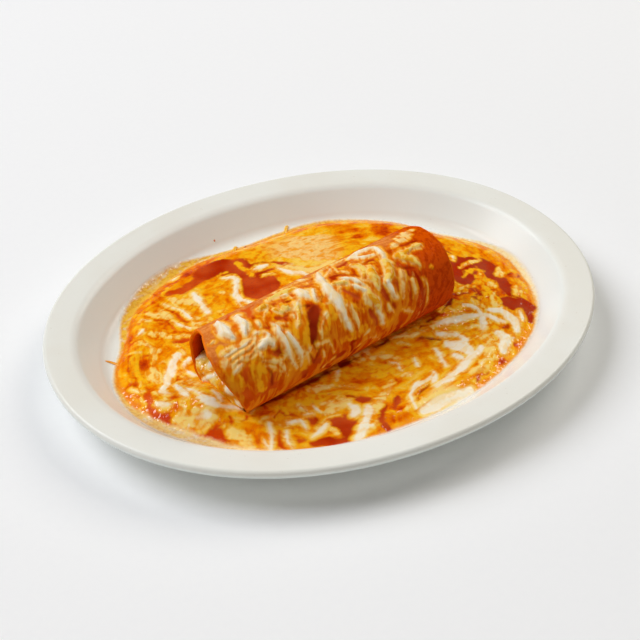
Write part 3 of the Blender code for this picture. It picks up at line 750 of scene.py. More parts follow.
def left_end(angle):
    turn = wrapped_degrees(angle, math.degrees(LEFT_TIP_ANGLE))
    first, last = LEFT_UNDERCUT_TURNS
    under = smooth_step((turn - first) / LEFT_UNDERCUT_EASE)
    under = under * smooth_step((last - turn) / LEFT_UNDERCUT_EASE)
    return ROLL_LEFT_END + recess(turn, LEFT_RECESS) + LEFT_UNDERCUT * under


def right_end(angle):
    turn = wrapped_degrees(angle, math.degrees(RIGHT_TIP_ANGLE))
    undercut = RIGHT_UNDERCUT * smooth_step((np.abs(turn) - QUARTER_TURN) / QUARTER_TURN)
    return ROLL_LEFT_END + ROLL_LENGTH - recess(turn, RIGHT_RECESS) - undercut


def tuck_depth(turn):
    """How far the sheet has moved in, at a turn counted from its outer edge."""
    return (TORTILLA + LAYER_GAP) * smooth_step((turn - math.tau + TUCK) / TUCK)


def filling_lift(angle):
    """How far inside the roll's outer surface the filling lies, clear of the tucked edge."""
    turn = (angle - SEAM_ANGLE) % math.tau
    margin = math.radians(14)
    entering = smooth_step((turn - math.tau + TUCK + margin) / TUCK)
    leaving = 1 - smooth_step((turn - (WRAP - math.tau) - margin / 2) / margin)
    tucked = np.maximum(entering, leaving)
    return -(TORTILLA + CUT_GAP) - tucked * (TORTILLA + LAYER_GAP)


def filling_front(across, height):
    """Where the filling's left face lies: spilt out low in the mouth, sunk back into a hollow above."""
    level = (height - ROLL_BOTTOM) / ROLL_HEIGHT
    lump = FILLING_LUMP * soft_noise(across * FILLING_LUMP_RATE, height * FILLING_LUMP_RATE, 3.0)
    sunk = FILLING_HOLLOW * smooth_step((level - FILLING_LEVEL) / FILLING_SLOPE)
    under = LEFT_UNDERCUT * smooth_step(-across / BESIDE_ROLL)
    return ROLL_LEFT_END + LEFT_RECESS - FILLING_SPILL + sunk + under + lump


def round_pool(angle, bumps):
    """The sum at each angle of bumps, each given by its direction and reach in degrees and its height."""
    return sum(height * bell(wrapped_degrees(angle, centre), reach) for centre, reach, height in bumps)


def pool_edge(angle):
    """The inset of the pool's edge, which is drawn back where the sauce ran short of the wall."""
    ragged = POOL_EDGE_RAGGED * ring_noise(angle, POOL_EDGE_RATE, 0.4)
    return POOL_EDGE_INSET + round_pool(angle, DRAWN_BACK) + ragged


def pool_level(x, y):
    """The height of the melted surface well inside the pool."""
    wave = sum(share * soft_noise(x * rate, y * rate, layer) for rate, layer, share in POOL_WAVE_RATES)
    bare = np.max([bell(np.hypot(x - px, y - py), reach) for px, py, reach in BARE_SAUCE], axis=0)
    along, across = to_roll(x, y)
    off_end = np.maximum(0.0, np.maximum(ROLL_LEFT_END - along, along - ROLL_LEFT_END - ROLL_LENGTH))
    beside = np.maximum(0.0, np.abs(across) - BESIDE_ROLL)
    bank = BANK_HEIGHT * bell(np.hypot(off_end, beside), BANK_REACH)
    mound = MOUND_HEIGHT * bell(np.hypot(along - MOUND_ALONG, across - MOUND_ACROSS), MOUND_REACH)
    return POOL_HEIGHT + POOL_WAVE * wave + BLANKET * (1 - smooth_step(2 * bare)) + bank + mound


# Cheese and sauce laid on a surface

class Skin:
    """A surface's places in metres, how far each lies inside every kind, and how far it rises or sinks."""

    def __init__(self, places, seed):
        warp = [
            sum(shift * lattice_noise(places, size, seed + layer + axis) for shift, size, layer in WARP)
            for axis in range(2)
        ]
        self.places = places + np.stack(warp, axis=1)
        self.inside = {kind: np.full(len(places), FAR_OUTSIDE) for kind in KINDS}
        self.swell = SWELL * lattice_noise(places, SWELL_SIZE, seed + 4)
        self.rise = np.zeros(len(places))
        self.sink = np.zeros(len(places))

    def paint(self, kind, width, height, route):
        """Lays one strand, patch or gap along a route of places."""
        route = np.array(smooth_route(route))
        margin = width / 2 - FAR_OUTSIDE
        near = np.all(
            (self.places > route.min(axis=0) - margin) & (self.places < route.max(axis=0) + margin), axis=1
        )
        places = self.places[near]
        inside = np.full(len(places), FAR_OUTSIDE)
        pieces = len(route) - 1
        for piece, (start, stop) in enumerate(zip(route, route[1:])):
            span = stop - start
            share = np.clip((places - start) @ span / (span @ span), 0, 1)
            offset = places - start - share[:, None] * span
            taper = 1 - TAPER + TAPER * np.sin(math.pi * (piece + share) / pieces)
            inside = np.maximum(inside, width / 2 * taper - np.hypot(offset[:, 0], offset[:, 1]))
        inside += self.swell[near]
        self.inside[kind][near] = np.maximum(self.inside[kind][near], inside)
        dome = height * smooth_step(np.clip(inside / (width / 2), 0, 1) * DOME_FULLNESS)
        if kind in ("red", "dark"):
            self.sink[near] = np.maximum(self.sink[near], dome)
            self.rise[near] *= smooth_step(-inside / CLEARING)
            for cheese in CHEESES:
                self.inside[cheese][near] = np.minimum(self.inside[cheese][near], -inside)
        else:
            self.rise[near] = np.maximum(self.rise[near], dome)

    def paint_named(self, strokes, seen_on):
        """Lays the strokes of a table, with seen_on to turn their pixels into places."""
        for kind, width, height, *pixels in strokes.values():
            self.paint(kind, width / 1000, height / 1000, [seen_on(pixel) for pixel in pixels])

    def store(self, mesh):
        """Writes the distances, in millimetres, as attributes of the mesh's first points."""
        for kind in KINDS:
            store_attribute(mesh, kind, self.inside[kind] * 1000, rest=FAR_OUTSIDE * 1000)


def store_attribute(mesh, name, values, rest=0.0):
    """Writes the values of the mesh's first points as an attribute, and rest for its other points."""
    padded = np.full(len(mesh.vertices), rest, dtype=np.float32)
    padded[:len(values)] = values
    attribute = mesh.attributes.new(name, "FLOAT", "POINT")
    attribute.data.foreach_set("value", padded)


def store_flow(mesh, *axes):
    """Writes the coordinates that melted streaks are drawn in, with one unit for a streak each way."""
    flow = np.zeros((len(mesh.vertices), 3), dtype=np.float32)
    for axis, values in enumerate(axes):
        flow[:len(values), axis] = values
    attribute = mesh.attributes.new("flow", "FLOAT_VECTOR", "POINT")
    attribute.data.foreach_set("vector", flow.ravel())


def lattice_noise(places, size, seed):
    """Smooth noise from -1 to 1, with features of about size, at rows of two coordinates."""
    table = np.random.default_rng(seed).uniform(-1, 1, (64, 64))
    low = np.floor(places / size).astype(int)
    share = smooth_step(places / size - low)
    total = np.zeros(len(places))
    for corner in itertools.product((0, 1), repeat=2):
        weight = np.prod(np.where(corner, share, 1 - share), axis=1)
        index = (low + corner) % 64
        total += weight * table[index[:, 0], index[:, 1]]
    return total


def smooth_route(points, steps=5):
    """A curve through the points, as Catmull and Rom draw it."""
    points = [np.array(point) for point in points]
    padded = [2 * points[0] - points[1], *points, 2 * points[-1] - points[-2]]
    route = [points[0]]
    for before, start, stop, after in zip(padded, padded[1:], padded[2:], padded[3:]):
        for step in range(1, steps + 1):
            t = step / steps
            route.append(0.5 * (
                2 * start + (stop - before) * t
                + (2 * before - 5 * start + 4 * stop - after) * t ** 2
                + (3 * start - before - 3 * stop + after) * t ** 3
            ))
    return route


def pixel_ray(pixel):
    """The direction in which the camera sees a pixel of the photograph."""
    right = Vector((math.cos(CAMERA_AZIMUTH), math.sin(CAMERA_AZIMUTH), 0))
    up = CAMERA_BACK.cross(right)
    scale = SENSOR / FOCAL_LENGTH / PHOTO_SIZE
    sideways = (pixel[0] - PHOTO_SIZE / 2) * scale
    upwards = (PHOTO_SIZE / 2 - pixel[1]) * scale
    return right * sideways + up * upwards - CAMERA_BACK


def seen_at_height(pixel, height):
    ray = pixel_ray(pixel)
    return CAMERA_PLACE + ray * ((height - CAMERA_PLACE.z) / ray.z)


def seen_on_pool(pixel):
    height = POOL_HEIGHT
    for _ in range(SIGHT_ROUNDS):
        place = seen_at_height(pixel, height)
        height = float(pool_level(place.x, place.y))
    return place.x, place.y


def seen_on_roll(pixel):
    """Where a pixel lies on the roll, as metres along it and metres round it."""
    for height in SIGHT_HEIGHTS:
        place = seen_at_height(pixel, height)
        along, across = to_roll(place.x, place.y)
        angle = math.atan2(height - ROLL_MIDDLE, across)
        if math.hypot(across, height - ROLL_MIDDLE) <= roll_radius(along, angle):
            break
    if angle < -math.pi / 2:
        angle += math.tau
    return along, angle * ROLL_ARC_RADIUS


def seen_on_heap(pixel):
    """Where a pixel lies on the filling's left face, as metres across the roll and above the table."""
    for height in SIGHT_HEIGHTS:
        place = seen_at_height(pixel, height)
        along, across = to_roll(place.x, place.y)
        if along >= filling_front(across, height):
            break
    return across, height


def scatter(skin, draw, count, spread, allowed, sizes):
    """Lays seeded short strands where allowed says so, along a heading that drifts over the surface."""
    laid = 0
    tries = 0
    while laid < count and tries < TRIES_PER_STRAND * count:
        tries += 1
        place = np.array([draw.uniform(*spread[0]), draw.uniform(*spread[1])])
        if not allowed(place):
            continue
        kind, width, length = draw.choices(sizes, weights=[size[3] for size in sizes])[0][:3]
        width *= draw.uniform(*STRAND_WIDTHS)
        length *= draw.uniform(*STRAND_LENGTHS)
        drift = noise.noise(Vector((*(place * HEADING_DRIFT), 7.0)))
        heading = HEADING_TURNS * drift * math.pi + draw.gauss(0, STRAND_STRAY)
        bend = draw.uniform(-STRAND_BEND, STRAND_BEND)
        route = []
        for step in (-0.5, 0.0, 0.5):
            turned = heading + bend * step
            route.append(place + step * length * np.array([math.cos(turned), math.sin(turned)]))
        skin.paint(kind, width, RISE[kind] * draw.uniform(*STRAND_HEIGHTS), route)
        laid += 1


def anywhere(place):
    return True


# Meshes

def mesh_object(name, points, faces, material):
    mesh = bpy.data.meshes.new(name)
    mesh.from_pydata([tuple(point) for point in points], [], faces)
    mesh.materials.append(material)
    mesh.shade_smooth()
    obj = bpy.data.objects.new(name, mesh)
    bpy.context.scene.collection.objects.link(obj)
    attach(obj, "root")
    return obj


def grid_faces(rows, columns, wrapped):
    """Quads of a net of rows by columns, closed round its columns where wrapped."""
    steps = columns if wrapped else columns - 1
    row, column = np.meshgrid(np.arange(rows - 1), np.arange(steps), indexing="ij")
    after = (column + 1) % columns
    quads = np.stack([
        row * columns + column, row * columns + after,
        (row + 1) * columns + after, (row + 1) * columns + column,
    ], axis=-1)
    return quads.reshape(-1, 4).tolist()


def capped(faces, first, last, sides):
    """The faces and a cap on each end of a tube, whose rings start at the points first and last."""
    caps = [tuple(range(first, first + sides))[::-1], tuple(range(last, last + sides))]
    return [tuple(face) for face in faces] + caps


def make_platter(material):
    profile = upper_profile() + lower_profile()[1:]
    angles = np.linspace(0, math.tau, PLATTER_SIDES, endpoint=False)
    points = []
    for inset, height in profile:
        x, y = outline_point(angles, inset)
        points += list(zip(x, y, np.full_like(x, height)))
    faces = [face[::-1] for face in grid_faces(len(profile), PLATTER_SIDES, True)]
    top_centre = len(points)
    points += [(0, 0, FLOOR_HEIGHT), (0, 0, UNDERSIDE_HEIGHT)]
    last = (len(profile) - 1) * PLATTER_SIDES
    for side in range(PLATTER_SIDES):
        after = (side + 1) % PLATTER_SIDES
        faces.append((top_centre, side, after))
        faces.append((top_centre + 1, last + after, last + side))
    platter = mesh_object("glazed_platter", points, faces, material)
    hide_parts("platter")


def disc_net(rows, columns):
    """A net of square cells drawn over the unit disc, as each point's share of the radius and its angle."""
    up, across = np.meshgrid(np.linspace(-1, 1, rows), np.linspace(-1, 1, columns), indexing="ij")
    x = across * np.sqrt(1 - up ** 2 / 2)
    y = up * np.sqrt(1 - across ** 2 / 2)
    return np.hypot(x, y).ravel(), np.arctan2(y, x).ravel()


def net_border(rows, columns):
    """The net's border points, once round."""
    first = list(range(columns - 1))
    right = [row * columns + columns - 1 for row in range(rows - 1)]
    last = [rows * columns - 1 - column for column in range(columns - 1)]
    left = [(rows - 1 - row) * columns for row in range(rows - 1)]
    return first + right + last + left


def on_blanket(place):
    """True where loose strands lie on melted cheese, off the smooth sheets and off the bare sauce."""
    x, y = place
    angle = math.atan2(y / HALF_WIDTH, x / HALF_LENGTH)
    if inset_of(np.array(x), np.array(y)) < pool_edge(angle) + STRANDS_FROM_EDGE:
        return False
    if any(math.hypot(x - px, y - py) < BARE_SHARE * reach for px, py, reach in BARE_SAUCE):
        return False
    along, across = to_roll(x, y)
    return not any(
        left < along < right and near < across < far for (left, right), (near, far) in SMOOTH_SHEETS
    )


def pool_skin(x, y):
    """What lies on the pool: seeded small strands, then the named ones, then those of the heap."""
    skin = Skin(np.stack([x, y], axis=1), seed=POOL_SEED)
    draw = random.Random(POOL_STRAND_SEED)
    scatter(skin, draw, POOL_STRANDS, POOL_SPREAD, on_blanket, POOL_SCATTER)
    for kind, width, *pixels in POOL_CHEESE.values():
        skin.paint(kind, width / 1000, RISE[kind], [seen_on_pool(pixel) for pixel in pixels])
    skin.paint_named(HEAP_CHEESE, seen_on_pool)
    return skin


def film_spread(angle):
    """How far the thin film ran out of the sauce over the glaze: milk at the right, oil at the back."""
    return round_pool(angle, FILM_RUN_OUT)


def fringe_width(angle):
    """How wide the thin oily film at the pool's edge is, widest at the back left and the front left."""
    return FILM_LEAST + round_pool(angle, FILM_WIDENED) + film_spread(angle)


def bare_edge(angle):
    """How far in the glaze still shows through the clear oil at the sauce's edge."""
    return round_pool(angle, GLAZE_SHOWN)


def pool_tone(x, y):
    """How much yellower the pool is at each place, and below 0 how much redder."""
    tone = TONE_WANDER * lattice_noise(np.stack([x, y], axis=1), TONE_SIZE, POOL_TONE_SEED)
    for shift, reach, pixel in POOL_TONES.values():
        middle = seen_on_pool(pixel)
        tone += shift * bell(np.hypot(x - middle[0], y - middle[1]), reach / 1000)
    return tone


def pool_surface(x, y, angle, inset, from_edge):
    """The height of the pool's upper face, which rises from the thin film at its edge."""
    past_film = from_edge - FILM_INNER_SHARE * fringe_width(angle)
    thin = platter_top(inset) + FILM_GAP + FILM_THICKNESS * smooth_step(from_edge / POOL_EDGE_ROUNDING)
    thin += POOL_EDGE_THICKNESS * smooth_step(past_film / FILM_SLOPE)
    full = smooth_step(past_film / POOL_SLOPE)
    return thin + full * np.maximum(0.0, pool_level(x, y) - thin)


def kept_under_roll(x, y, top):
    """The heights of the pool, lowered to the roll's underside where the roll lies on it."""
    along, across = to_roll(x, y)
    flank = np.minimum(np.abs(across) / (ROLL_WIDTH / 2), 1) ** ROLL_POWER
    under_roll = ROLL_MIDDLE - ROLL_HEIGHT / 2 * (1 - flank) ** (1 / ROLL_POWER)
    below = np.arctan2(under_roll - ROLL_MIDDLE, across)
    beneath = (along > left_end(below) - CUT_GAP) & (along < right_end(below) + CUT_GAP) & (flank < 1)
    return np.where(beneath, np.minimum(top, under_roll - FILM_GAP), top)


def pool_underside(points, edge, angle):
    """Points and faces that close the pool below, in rings that follow the platter in to its middle."""
    border = net_border(POOL_ROWS, POOL_COLUMNS)
    count = len(border)
    faces = []
    rings = [border]
    for offset in UNDERSIDE_INSETS:
        start = len(points)
        ring_inset = edge[border] + offset
        ring = outline_point(angle[border], ring_inset)
        points = np.concatenate([points, np.column_stack([*ring, platter_top(ring_inset) + FILM_GAP / 2])])
        rings.append(list(range(start, start + count)))
    for upper, lower in zip(rings, rings[1:]):
        for index in range(count):
            after = (index + 1) % count
            faces.append((upper[after], upper[index], lower[index], lower[after]))
    centre = len(points)
    points = np.concatenate([points, [(0, 0, FLOOR_HEIGHT + FILM_GAP / 2)]])
    for index in range(count):
        faces.append((rings[-1][(index + 1) % count], rings[-1][index], centre))
    return points, faces


def store_pool_looks(mesh, skin, x, y, angle, inset, from_edge):
    """Writes what the pool's material reads: the kinds, the flow, the tone, and the film at the edge."""
    skin.store(mesh)
    bend = STREAK_BEND * lattice_noise(skin.places, STREAK_BEND_SIZE, POOL_BEND_SEED)
    turn = np.arctan2(y / HALF_WIDTH, x / HALF_LENGTH) + bend
    once_round = (HALF_LENGTH - STREAK_INSET) / STREAK_LENGTH
    sway = STREAK_SWAY * lattice_noise(skin.places, POOL_SWAY_SIZE, POOL_SWAY_SEED)
    inwards = (inset + sway) / STREAK_WIDTH
    store_flow(mesh, once_round * np.cos(turn), once_round * np.sin(turn), inwards)
    looks = {
        "tone": pool_tone(x, y),
        "from_edge": from_edge * 1000,
        "film": fringe_width(angle) * 1000,
        "milky": smooth_step(1.5 - np.abs(wrapped_degrees(angle, MILK_ANGLE)) / MILK_REACH),
    }
    for name, values in looks.items():
        store_attribute(mesh, name, values)


def make_pool(material):
    """The sauce and the cheese in it: a fine upper face and a plain lower one that follows the platter."""
    share, angle = disc_net(POOL_ROWS, POOL_COLUMNS)
    edge = pool_edge(angle) - film_spread(angle)
    x, y = outline_point(angle, edge)
    x = x * share
    y = y * share
    inset = inset_of(x, y)
    from_edge = inset - edge - bare_edge(angle)
    skin = pool_skin(x, y)
    top = pool_surface(x, y, angle, inset, from_edge)
    top += smooth_step(from_edge / RELIEF_SLOPE) * (skin.rise - skin.sink)
    top = kept_under_roll(x, y, top)
    points, lower_faces = pool_underside(np.stack([x, y, top], axis=1), edge, angle)
    faces = grid_faces(POOL_ROWS, POOL_COLUMNS, False) + lower_faces
    pool = mesh_object("sauce_and_cheese_pool", points, faces, material)
    pool.data.set_sharp_from_angle(angle=POOL_SHARP)
    store_pool_looks(pool.data, skin, x, y, angle, inset, from_edge)
    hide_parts("sauce_pool")


def sheet_turns():
    """Turns round the sheet from its outer edge, close together where the sheet shows."""
    start = np.linspace(0, SHOWN_FROM, START_TURNS)[:-1]
    shown = np.linspace(SHOWN_FROM, SHOWN_TO, SHOWN_TURNS)[:-1]
    tucked = np.linspace(SHOWN_TO, WRAP, TUCKED_TURNS)
    return np.concatenate([start, shown, tucked])


def sheet_ends(turns):
    """Where the sheet starts and stops along the roll at each turn, a little raggedly."""
    ragged = SHEET_RAGGED * ring_noise(turns, SHEET_RAGGED_RATE, 1.0)
    start = left_end(SEAM_ANGLE + turns) + ragged
    stop = right_end(SEAM_ANGLE + turns) + ragged
    return start[:, None], stop[:, None]


def roll_skin(along, angle):
    """What lies on the roll: seeded small strands, then the named ones, thinner down its front."""
    skin = Skin(np.stack([along.ravel(), (angle * ROLL_ARC_RADIUS).ravel()], axis=1), seed=ROLL_SEED)
    draw = random.Random(ROLL_STRAND_SEED)
    scatter(skin, draw, ROLL_STRANDS, ROLL_SPREAD, anywhere, ROLL_SCATTER)
    skin.paint_named(ROLL_CHEESE, seen_on_roll)
    thinned = smooth_step((np.degrees(angle) - THINNED_FROM) / THINNED_OVER).ravel()
    for kind in CHEESES:
        skin.inside[kind] -= THINNING * thinned
    skin.rise *= 1 - thinned / 2
    return skin


def outer_sheet(along, turn, from_end, skin):
    """Points of the sheet's outer face, with the cheese on it and its ends rounded."""
    shown = smooth_step((turn - CHEESE_FROM) / CHEESE_FADE) * smooth_step((CHEESE_TO - turn) / CHEESE_FADE)
    rise = (skin.rise - skin.sink).reshape(turn.shape) * shown * smooth_step(from_end / END_FADE)
    rounding = EDGE_ROUNDING * (1 - np.minimum(from_end / EDGE_ROUNDING, 1)) ** 2
    outer = roll_point(along, SEAM_ANGLE + turn, -tuck_depth(turn) + rise - rounding)
    outer[..., 2] = np.minimum(outer[..., 2], cad_box[1][2])
    return outer


def inner_sheet(turns, start, stop):
    """Points of the sheet's inner face, and how far each lies from the nearer end."""
    turn, share = np.meshgrid(turns, INNER_SHARES, indexing="ij")
    along = start + share * (stop - start)
    edge = EDGE_ROUNDING * ((share == 1) | (share == 0))
    inner = roll_point(along, SEAM_ANGLE + turn, -tuck_depth(turn) - TORTILLA + edge)
    return inner, np.minimum(along - start, stop - along)


def store_sheet_looks(mesh, skin, along, angle, from_end):
    """Writes what the tortilla's material reads, with plain values on the sheet's inner face."""
    def spread_out(values, rest=0.0):
        full = np.full(from_end.shape, rest)
        full[:, :ROLL_ROWS] = values.reshape(angle.shape)
        return full.ravel()

    sway = STREAK_SWAY * lattice_noise(skin.places, ROLL_SWAY_SIZE, ROLL_SWAY_SEED)
    sway = sway.reshape(angle.shape)
    slant = STREAK_SLANT * (angle - math.pi / 2) * ROLL_ARC_RADIUS
    store_flow(
        mesh,
        spread_out((along + slant + sway) / STREAK_WIDTH),
        spread_out(angle * ROLL_ARC_RADIUS / STREAK_LENGTH),
    )
    looks = {kind: spread_out(skin.inside[kind] * 1000, FAR_OUTSIDE * 1000) for kind in KINDS}
    looks["lump"] = spread_out(skin.rise * 1000)
    looks["along"] = spread_out(along * 1000)
    looks["turned"] = spread_out(np.degrees(angle))
    looks["from_end"] = from_end.ravel() * 1000
    looks["inside"] = spread_out(np.zeros(angle.shape), 1.0)
    for name, values in looks.items():
        store_attribute(mesh, name, values)


def make_tortilla(material):
    """One sheet wound a little over once round, with melted cheese on it, tucked under its own edge."""
    turns = sheet_turns()
    start, stop = sheet_ends(turns)
    turn, share = np.meshgrid(turns, np.linspace(0, 1, ROLL_ROWS), indexing="ij")
    along = start + share * (stop - start)
    angle = SEAM_ANGLE + turn
    from_end = np.minimum(along - start, stop - along)
    skin = roll_skin(along, angle)
    inner, inner_from_end = inner_sheet(turns, start, stop)
    rings = np.concatenate([outer_sheet(along, turn, from_end, skin), inner], axis=1)
    loop = rings.shape[1]
    faces = capped(grid_faces(len(turns), loop, True), 0, (len(turns) - 1) * loop, loop)
    faces = [face[::-1] for face in faces]
    sheet = mesh_object("sauced_tortilla_and_cheese", rings.reshape(-1, 3), faces, material)
    store_sheet_looks(sheet.data, skin, along, angle, np.concatenate([from_end, inner_from_end], axis=1))
    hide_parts("rolled_tortilla")


def seen_on_platter(pixel):
    """The place on the platter's upper face that a pixel shows."""
    for height in PLATTER_HEIGHTS:
        place = seen_at_height(pixel, height)
        inset = inset_of(np.array(place.x), np.array(place.y))
        if height <= float(platter_top(inset)):
            break
    return np.array([place.x, place.y])


def crumb_rings(width, height, pixels):
    """Points of one crumb along its pixels, ring by ring: a thin tapered ridge that lies on the glaze."""
    turns = np.linspace(0, math.tau, CRUMB_SIDES, endpoint=False)
    route = np.array(smooth_route([seen_on_platter(pixel) for pixel in pixels]))
    headings = np.gradient(route, axis=0)
    headings /= np.linalg.norm(headings, axis=1)[:, None]
    points = []
    for place, heading, share in zip(route, headings, np.linspace(-1, 1, len(route))):
        fullness = math.sqrt(1 - share ** 2)
        across = width / 2000 * max(CRUMB_TIP_WIDTH, fullness) * np.cos(turns)
        lift = height / 1000 * max(CRUMB_TIP_HEIGHT, fullness) * np.sin(turns)
        x = place[0] - heading[1] * across
        y = place[1] + heading[0] * across
        floor = platter_top(inset_of(x, y)) + FILM_GAP + FILM_THICKNESS
        points += list(zip(x, y, floor + np.maximum(lift, -CRUMB_SINK)))
    return points


def make_crumbs(material):
    """Shreds, specks and a spike of sauce that dried on the glaze, each lying on it."""
    points = []
    faces = []
    shades = []
    for shade, width, height, *pixels in CRUMBS.values():
        rings = crumb_rings(width, height, pixels)
        start = len(points)
        net = grid_faces(len(rings) // CRUMB_SIDES, CRUMB_SIDES, True)
        loops = [[start + index for index in face] for face in net]
        faces += capped(loops, start, start + len(rings) - CRUMB_SIDES, CRUMB_SIDES)
        points += rings
        shades += [shade] * len(rings)
    crumbs = mesh_object("crumbs_on_the_glaze", points, faces, material)
    store_attribute(crumbs.data, "shade", shades)


def filling_skin(across, height):
    """What lies on the filling's left face: red sauce at its top, seeded strands, then the named ones."""
    skin = Skin(np.stack([across.ravel(), height.ravel()], axis=1), seed=FILLING_SEED)
    skin.paint("red", FILLING_RED_WIDTH, 0.0, FILLING_RED_TOP)
    draw = random.Random(FILLING_STRAND_SEED)
    scatter(skin, draw, FILLING_STRANDS, FILLING_SPREAD, anywhere, FILLING_SCATTER)
    skin.paint_named(HEAP_CHEESE, seen_on_heap)
    return skin


def filling_body(angles, edge, front):
    """Rings of the filling from its left face through the roll, and over its right face to the middle."""
    rings = []
    stop = right_end(angles) - FILLING_RIGHT_DEPTH - FILLING_SLANT * np.sin(angles)
    for ring in range(1, FILLING_RINGS):
        part = ring / (FILLING_RINGS - 1)
        rings.append(roll_point(front + part * (stop - front), angles, filling_lift(angles)))
    right_middle = float(right_end(0)) - FILLING_RIGHT_DEPTH
    for shrink in FILLING_RIGHT_SHARES:
        lump = FILLING_LUMP * ring_noise(angles, FILLING_END_RATE, shrink * 4)
        spoke = edge * shrink
        place = right_middle + lump + shrink * (stop - right_middle)
        rings.append(from_roll(place, spoke * np.cos(angles), ROLL_MIDDLE + spoke * np.sin(angles)))
    return rings


def make_filling(material):
    """The filling that runs through the roll, with sauce and cheese on the heap in its left end."""
    angles = np.linspace(0, math.tau, FILLING_SIDES, endpoint=False)
    edge = roll_radius(np.full_like(angles, ROLL_LEFT_END), angles) + filling_lift(angles)
    share, angle = np.meshgrid(np.linspace(FILLING_CENTRE, 1.0, FILLING_FACE_ROWS), angles, indexing="ij")
    across = share * edge * np.cos(angle)
    height = ROLL_MIDDLE + share * edge * np.sin(angle)
    skin = filling_skin(across, height)
    along = filling_front(across, height) - (skin.rise - skin.sink).reshape(across.shape)
    rings = [*from_roll(along, across, height), *filling_body(angles, edge, along[-1])]
    net = grid_faces(len(rings), FILLING_SIDES, True)
    faces = capped(net, 0, (len(rings) - 1) * FILLING_SIDES, FILLING_SIDES)
    faces = [face[::-1] for face in faces]
    filling = mesh_object("sauced_filling", np.concatenate(rings), faces, material)
    skin.store(filling.data)
    store_flow(filling.data, across.ravel() / STREAK_LENGTH, height.ravel() / STREAK_WIDTH)
    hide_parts("filling")


# Materials

class Shading:
    """A material's node tree, with short calls that each add a node and return its output."""

    def __init__(self, name):
        self.material = bpy.data.materials.new(name)
        self.material.use_nodes = True
        self.tree = self.material.node_tree
        self.shader = self.tree.nodes["Principled BSDF"]
        self.place = self.add("ShaderNodeTexCoord", {}, output="Object")

    def add(self, kind, inputs, settings=(), output=0):
        node = self.tree.nodes.new(kind)
        for key, value in settings:
            setattr(node, key, value)
        for key, value in inputs.items():
            self.feed(node.inputs[key], value)
        return node.outputs[output]

    def feed(self, socket, value):
        if isinstance(value, bpy.types.NodeSocket):
            self.tree.links.new(value, socket)
        else:
            socket.default_value = value

    def set(self, name, value):
        self.feed(self.shader.inputs[name], value)

    def maths(self, operation, first, *others):
        """The values joined by one operation, such as their product or the largest of them."""
        for other in others:
            first = self.add("ShaderNodeMath", {0: first, 1: other}, [("operation", operation)])
        return first

    def remap(self, value, low, high, start=0.0, stop=1.0):
        """The value's place between low and high, eased, as a number from start to stop."""
        inputs = {"Value": value, "From Min": low, "From Max": high, "To Min": start, "To Max": stop}
        return self.add("ShaderNodeMapRange", inputs, [("interpolation_type", "SMOOTHSTEP")])

    def blend(self, share, first, second):
        inputs = {"Factor": share, 6: first, 7: second}
        return self.add("ShaderNodeMix", inputs, [("data_type", "RGBA")], output=2)

    def measured(self, name):
        return self.add("ShaderNodeAttribute", {}, [("attribute_name", name)], output="Fac")

    def grain(self, size, detail=2.0, roughness=0.5, distortion=0.0, place=None):
        """Noise from 0 to 1 with features of about size metres, or of about size in the place given."""
        inputs = {
            "Vector": place or self.place, "Scale": 1 / size, "Detail": detail,
            "Roughness": roughness, "Distortion": distortion,
        }
        return self.add("ShaderNodeTexNoise", inputs, output="Fac")

    def flow_grain(self, scale, **form):
        """Noise from 0 to 1 that is drawn out the way the cheese ran."""
        flow = self.add("ShaderNodeAttribute", {}, [("attribute_name", "flow")], output="Vector")
        return self.grain(1 / scale, place=flow, **form)

    def axis(self, name):
        return self.add("ShaderNodeSeparateXYZ", {"Vector": self.place}, output=name)

    def weighted(self, *terms, offset=0.0):
        """The sum of each value times its weight, and an offset."""
        total = offset
        for value, weight in terms:
            inputs = {0: value, 1: weight, 2: total}
            total = self.add("ShaderNodeMath", inputs, [("operation", "MULTIPLY_ADD")])
        return total

    def ramp(self, share, tones):
        """A colour that runs through the tones, each given with the share at which it is full."""
        output = self.add("ShaderNodeValToRGB", {"Fac": share}, output="Color")
        elements = output.node.color_ramp.elements
        while len(elements) < len(tones):
            elements.new(0.5)
        for element, (position, tone) in zip(elements, tones):
            element.position = position
            element.color = tone
        return output

    def bump(self, height, distance):
        """Surface relief from a height of 0 to 1 that stands for distance metres."""
        normal = self.add("ShaderNodeBump", {"Strength": 1.0, "Distance": distance, "Height": height})
        self.set("Normal", normal)


# Sauce from its reddest to where it is mostly cheddar, each colour with the tone at which it is full
SAUCE_TONES = (
    (0.00, colour(150, 34, 4)),
    (0.18, colour(186, 52, 4)),
    (0.34, colour(218, 82, 0)),
    (0.48, colour(236, 122, 0)),
    (0.62, colour(246, 154, 4)),
    (0.78, colour(250, 182, 26)),
    (0.95, colour(252, 208, 88)),
)

# Pairs of colours, deep and light, between which a kind of sauce or cheese varies
RED = (colour(176, 40, 2), colour(206, 80, 28))
RED_WEST = (colour(206, 62, 4), colour(232, 98, 24))
# Dark: painted shade for hollows and slits, and dark burnt sauce
DARK_SAUCE_AND_SHADE = (colour(126, 22, 6), colour(162, 46, 14))
CHEDDAR = (colour(239, 130, 0), colour(251, 184, 24))
CHEDDAR_ON_ROLL = (colour(232, 114, 4), colour(253, 172, 26))
MELT = (colour(244, 160, 30), colour(253, 216, 120))
MELT_ON_ROLL = (colour(238, 148, 50), colour(253, 214, 138))
LUMP = (colour(246, 166, 26), colour(254, 214, 108))
YELLOW_LIGHT = (colour(246, 162, 44), colour(252, 206, 122))
WHITE = (colour(252, 224, 172), colour(253, 240, 214))

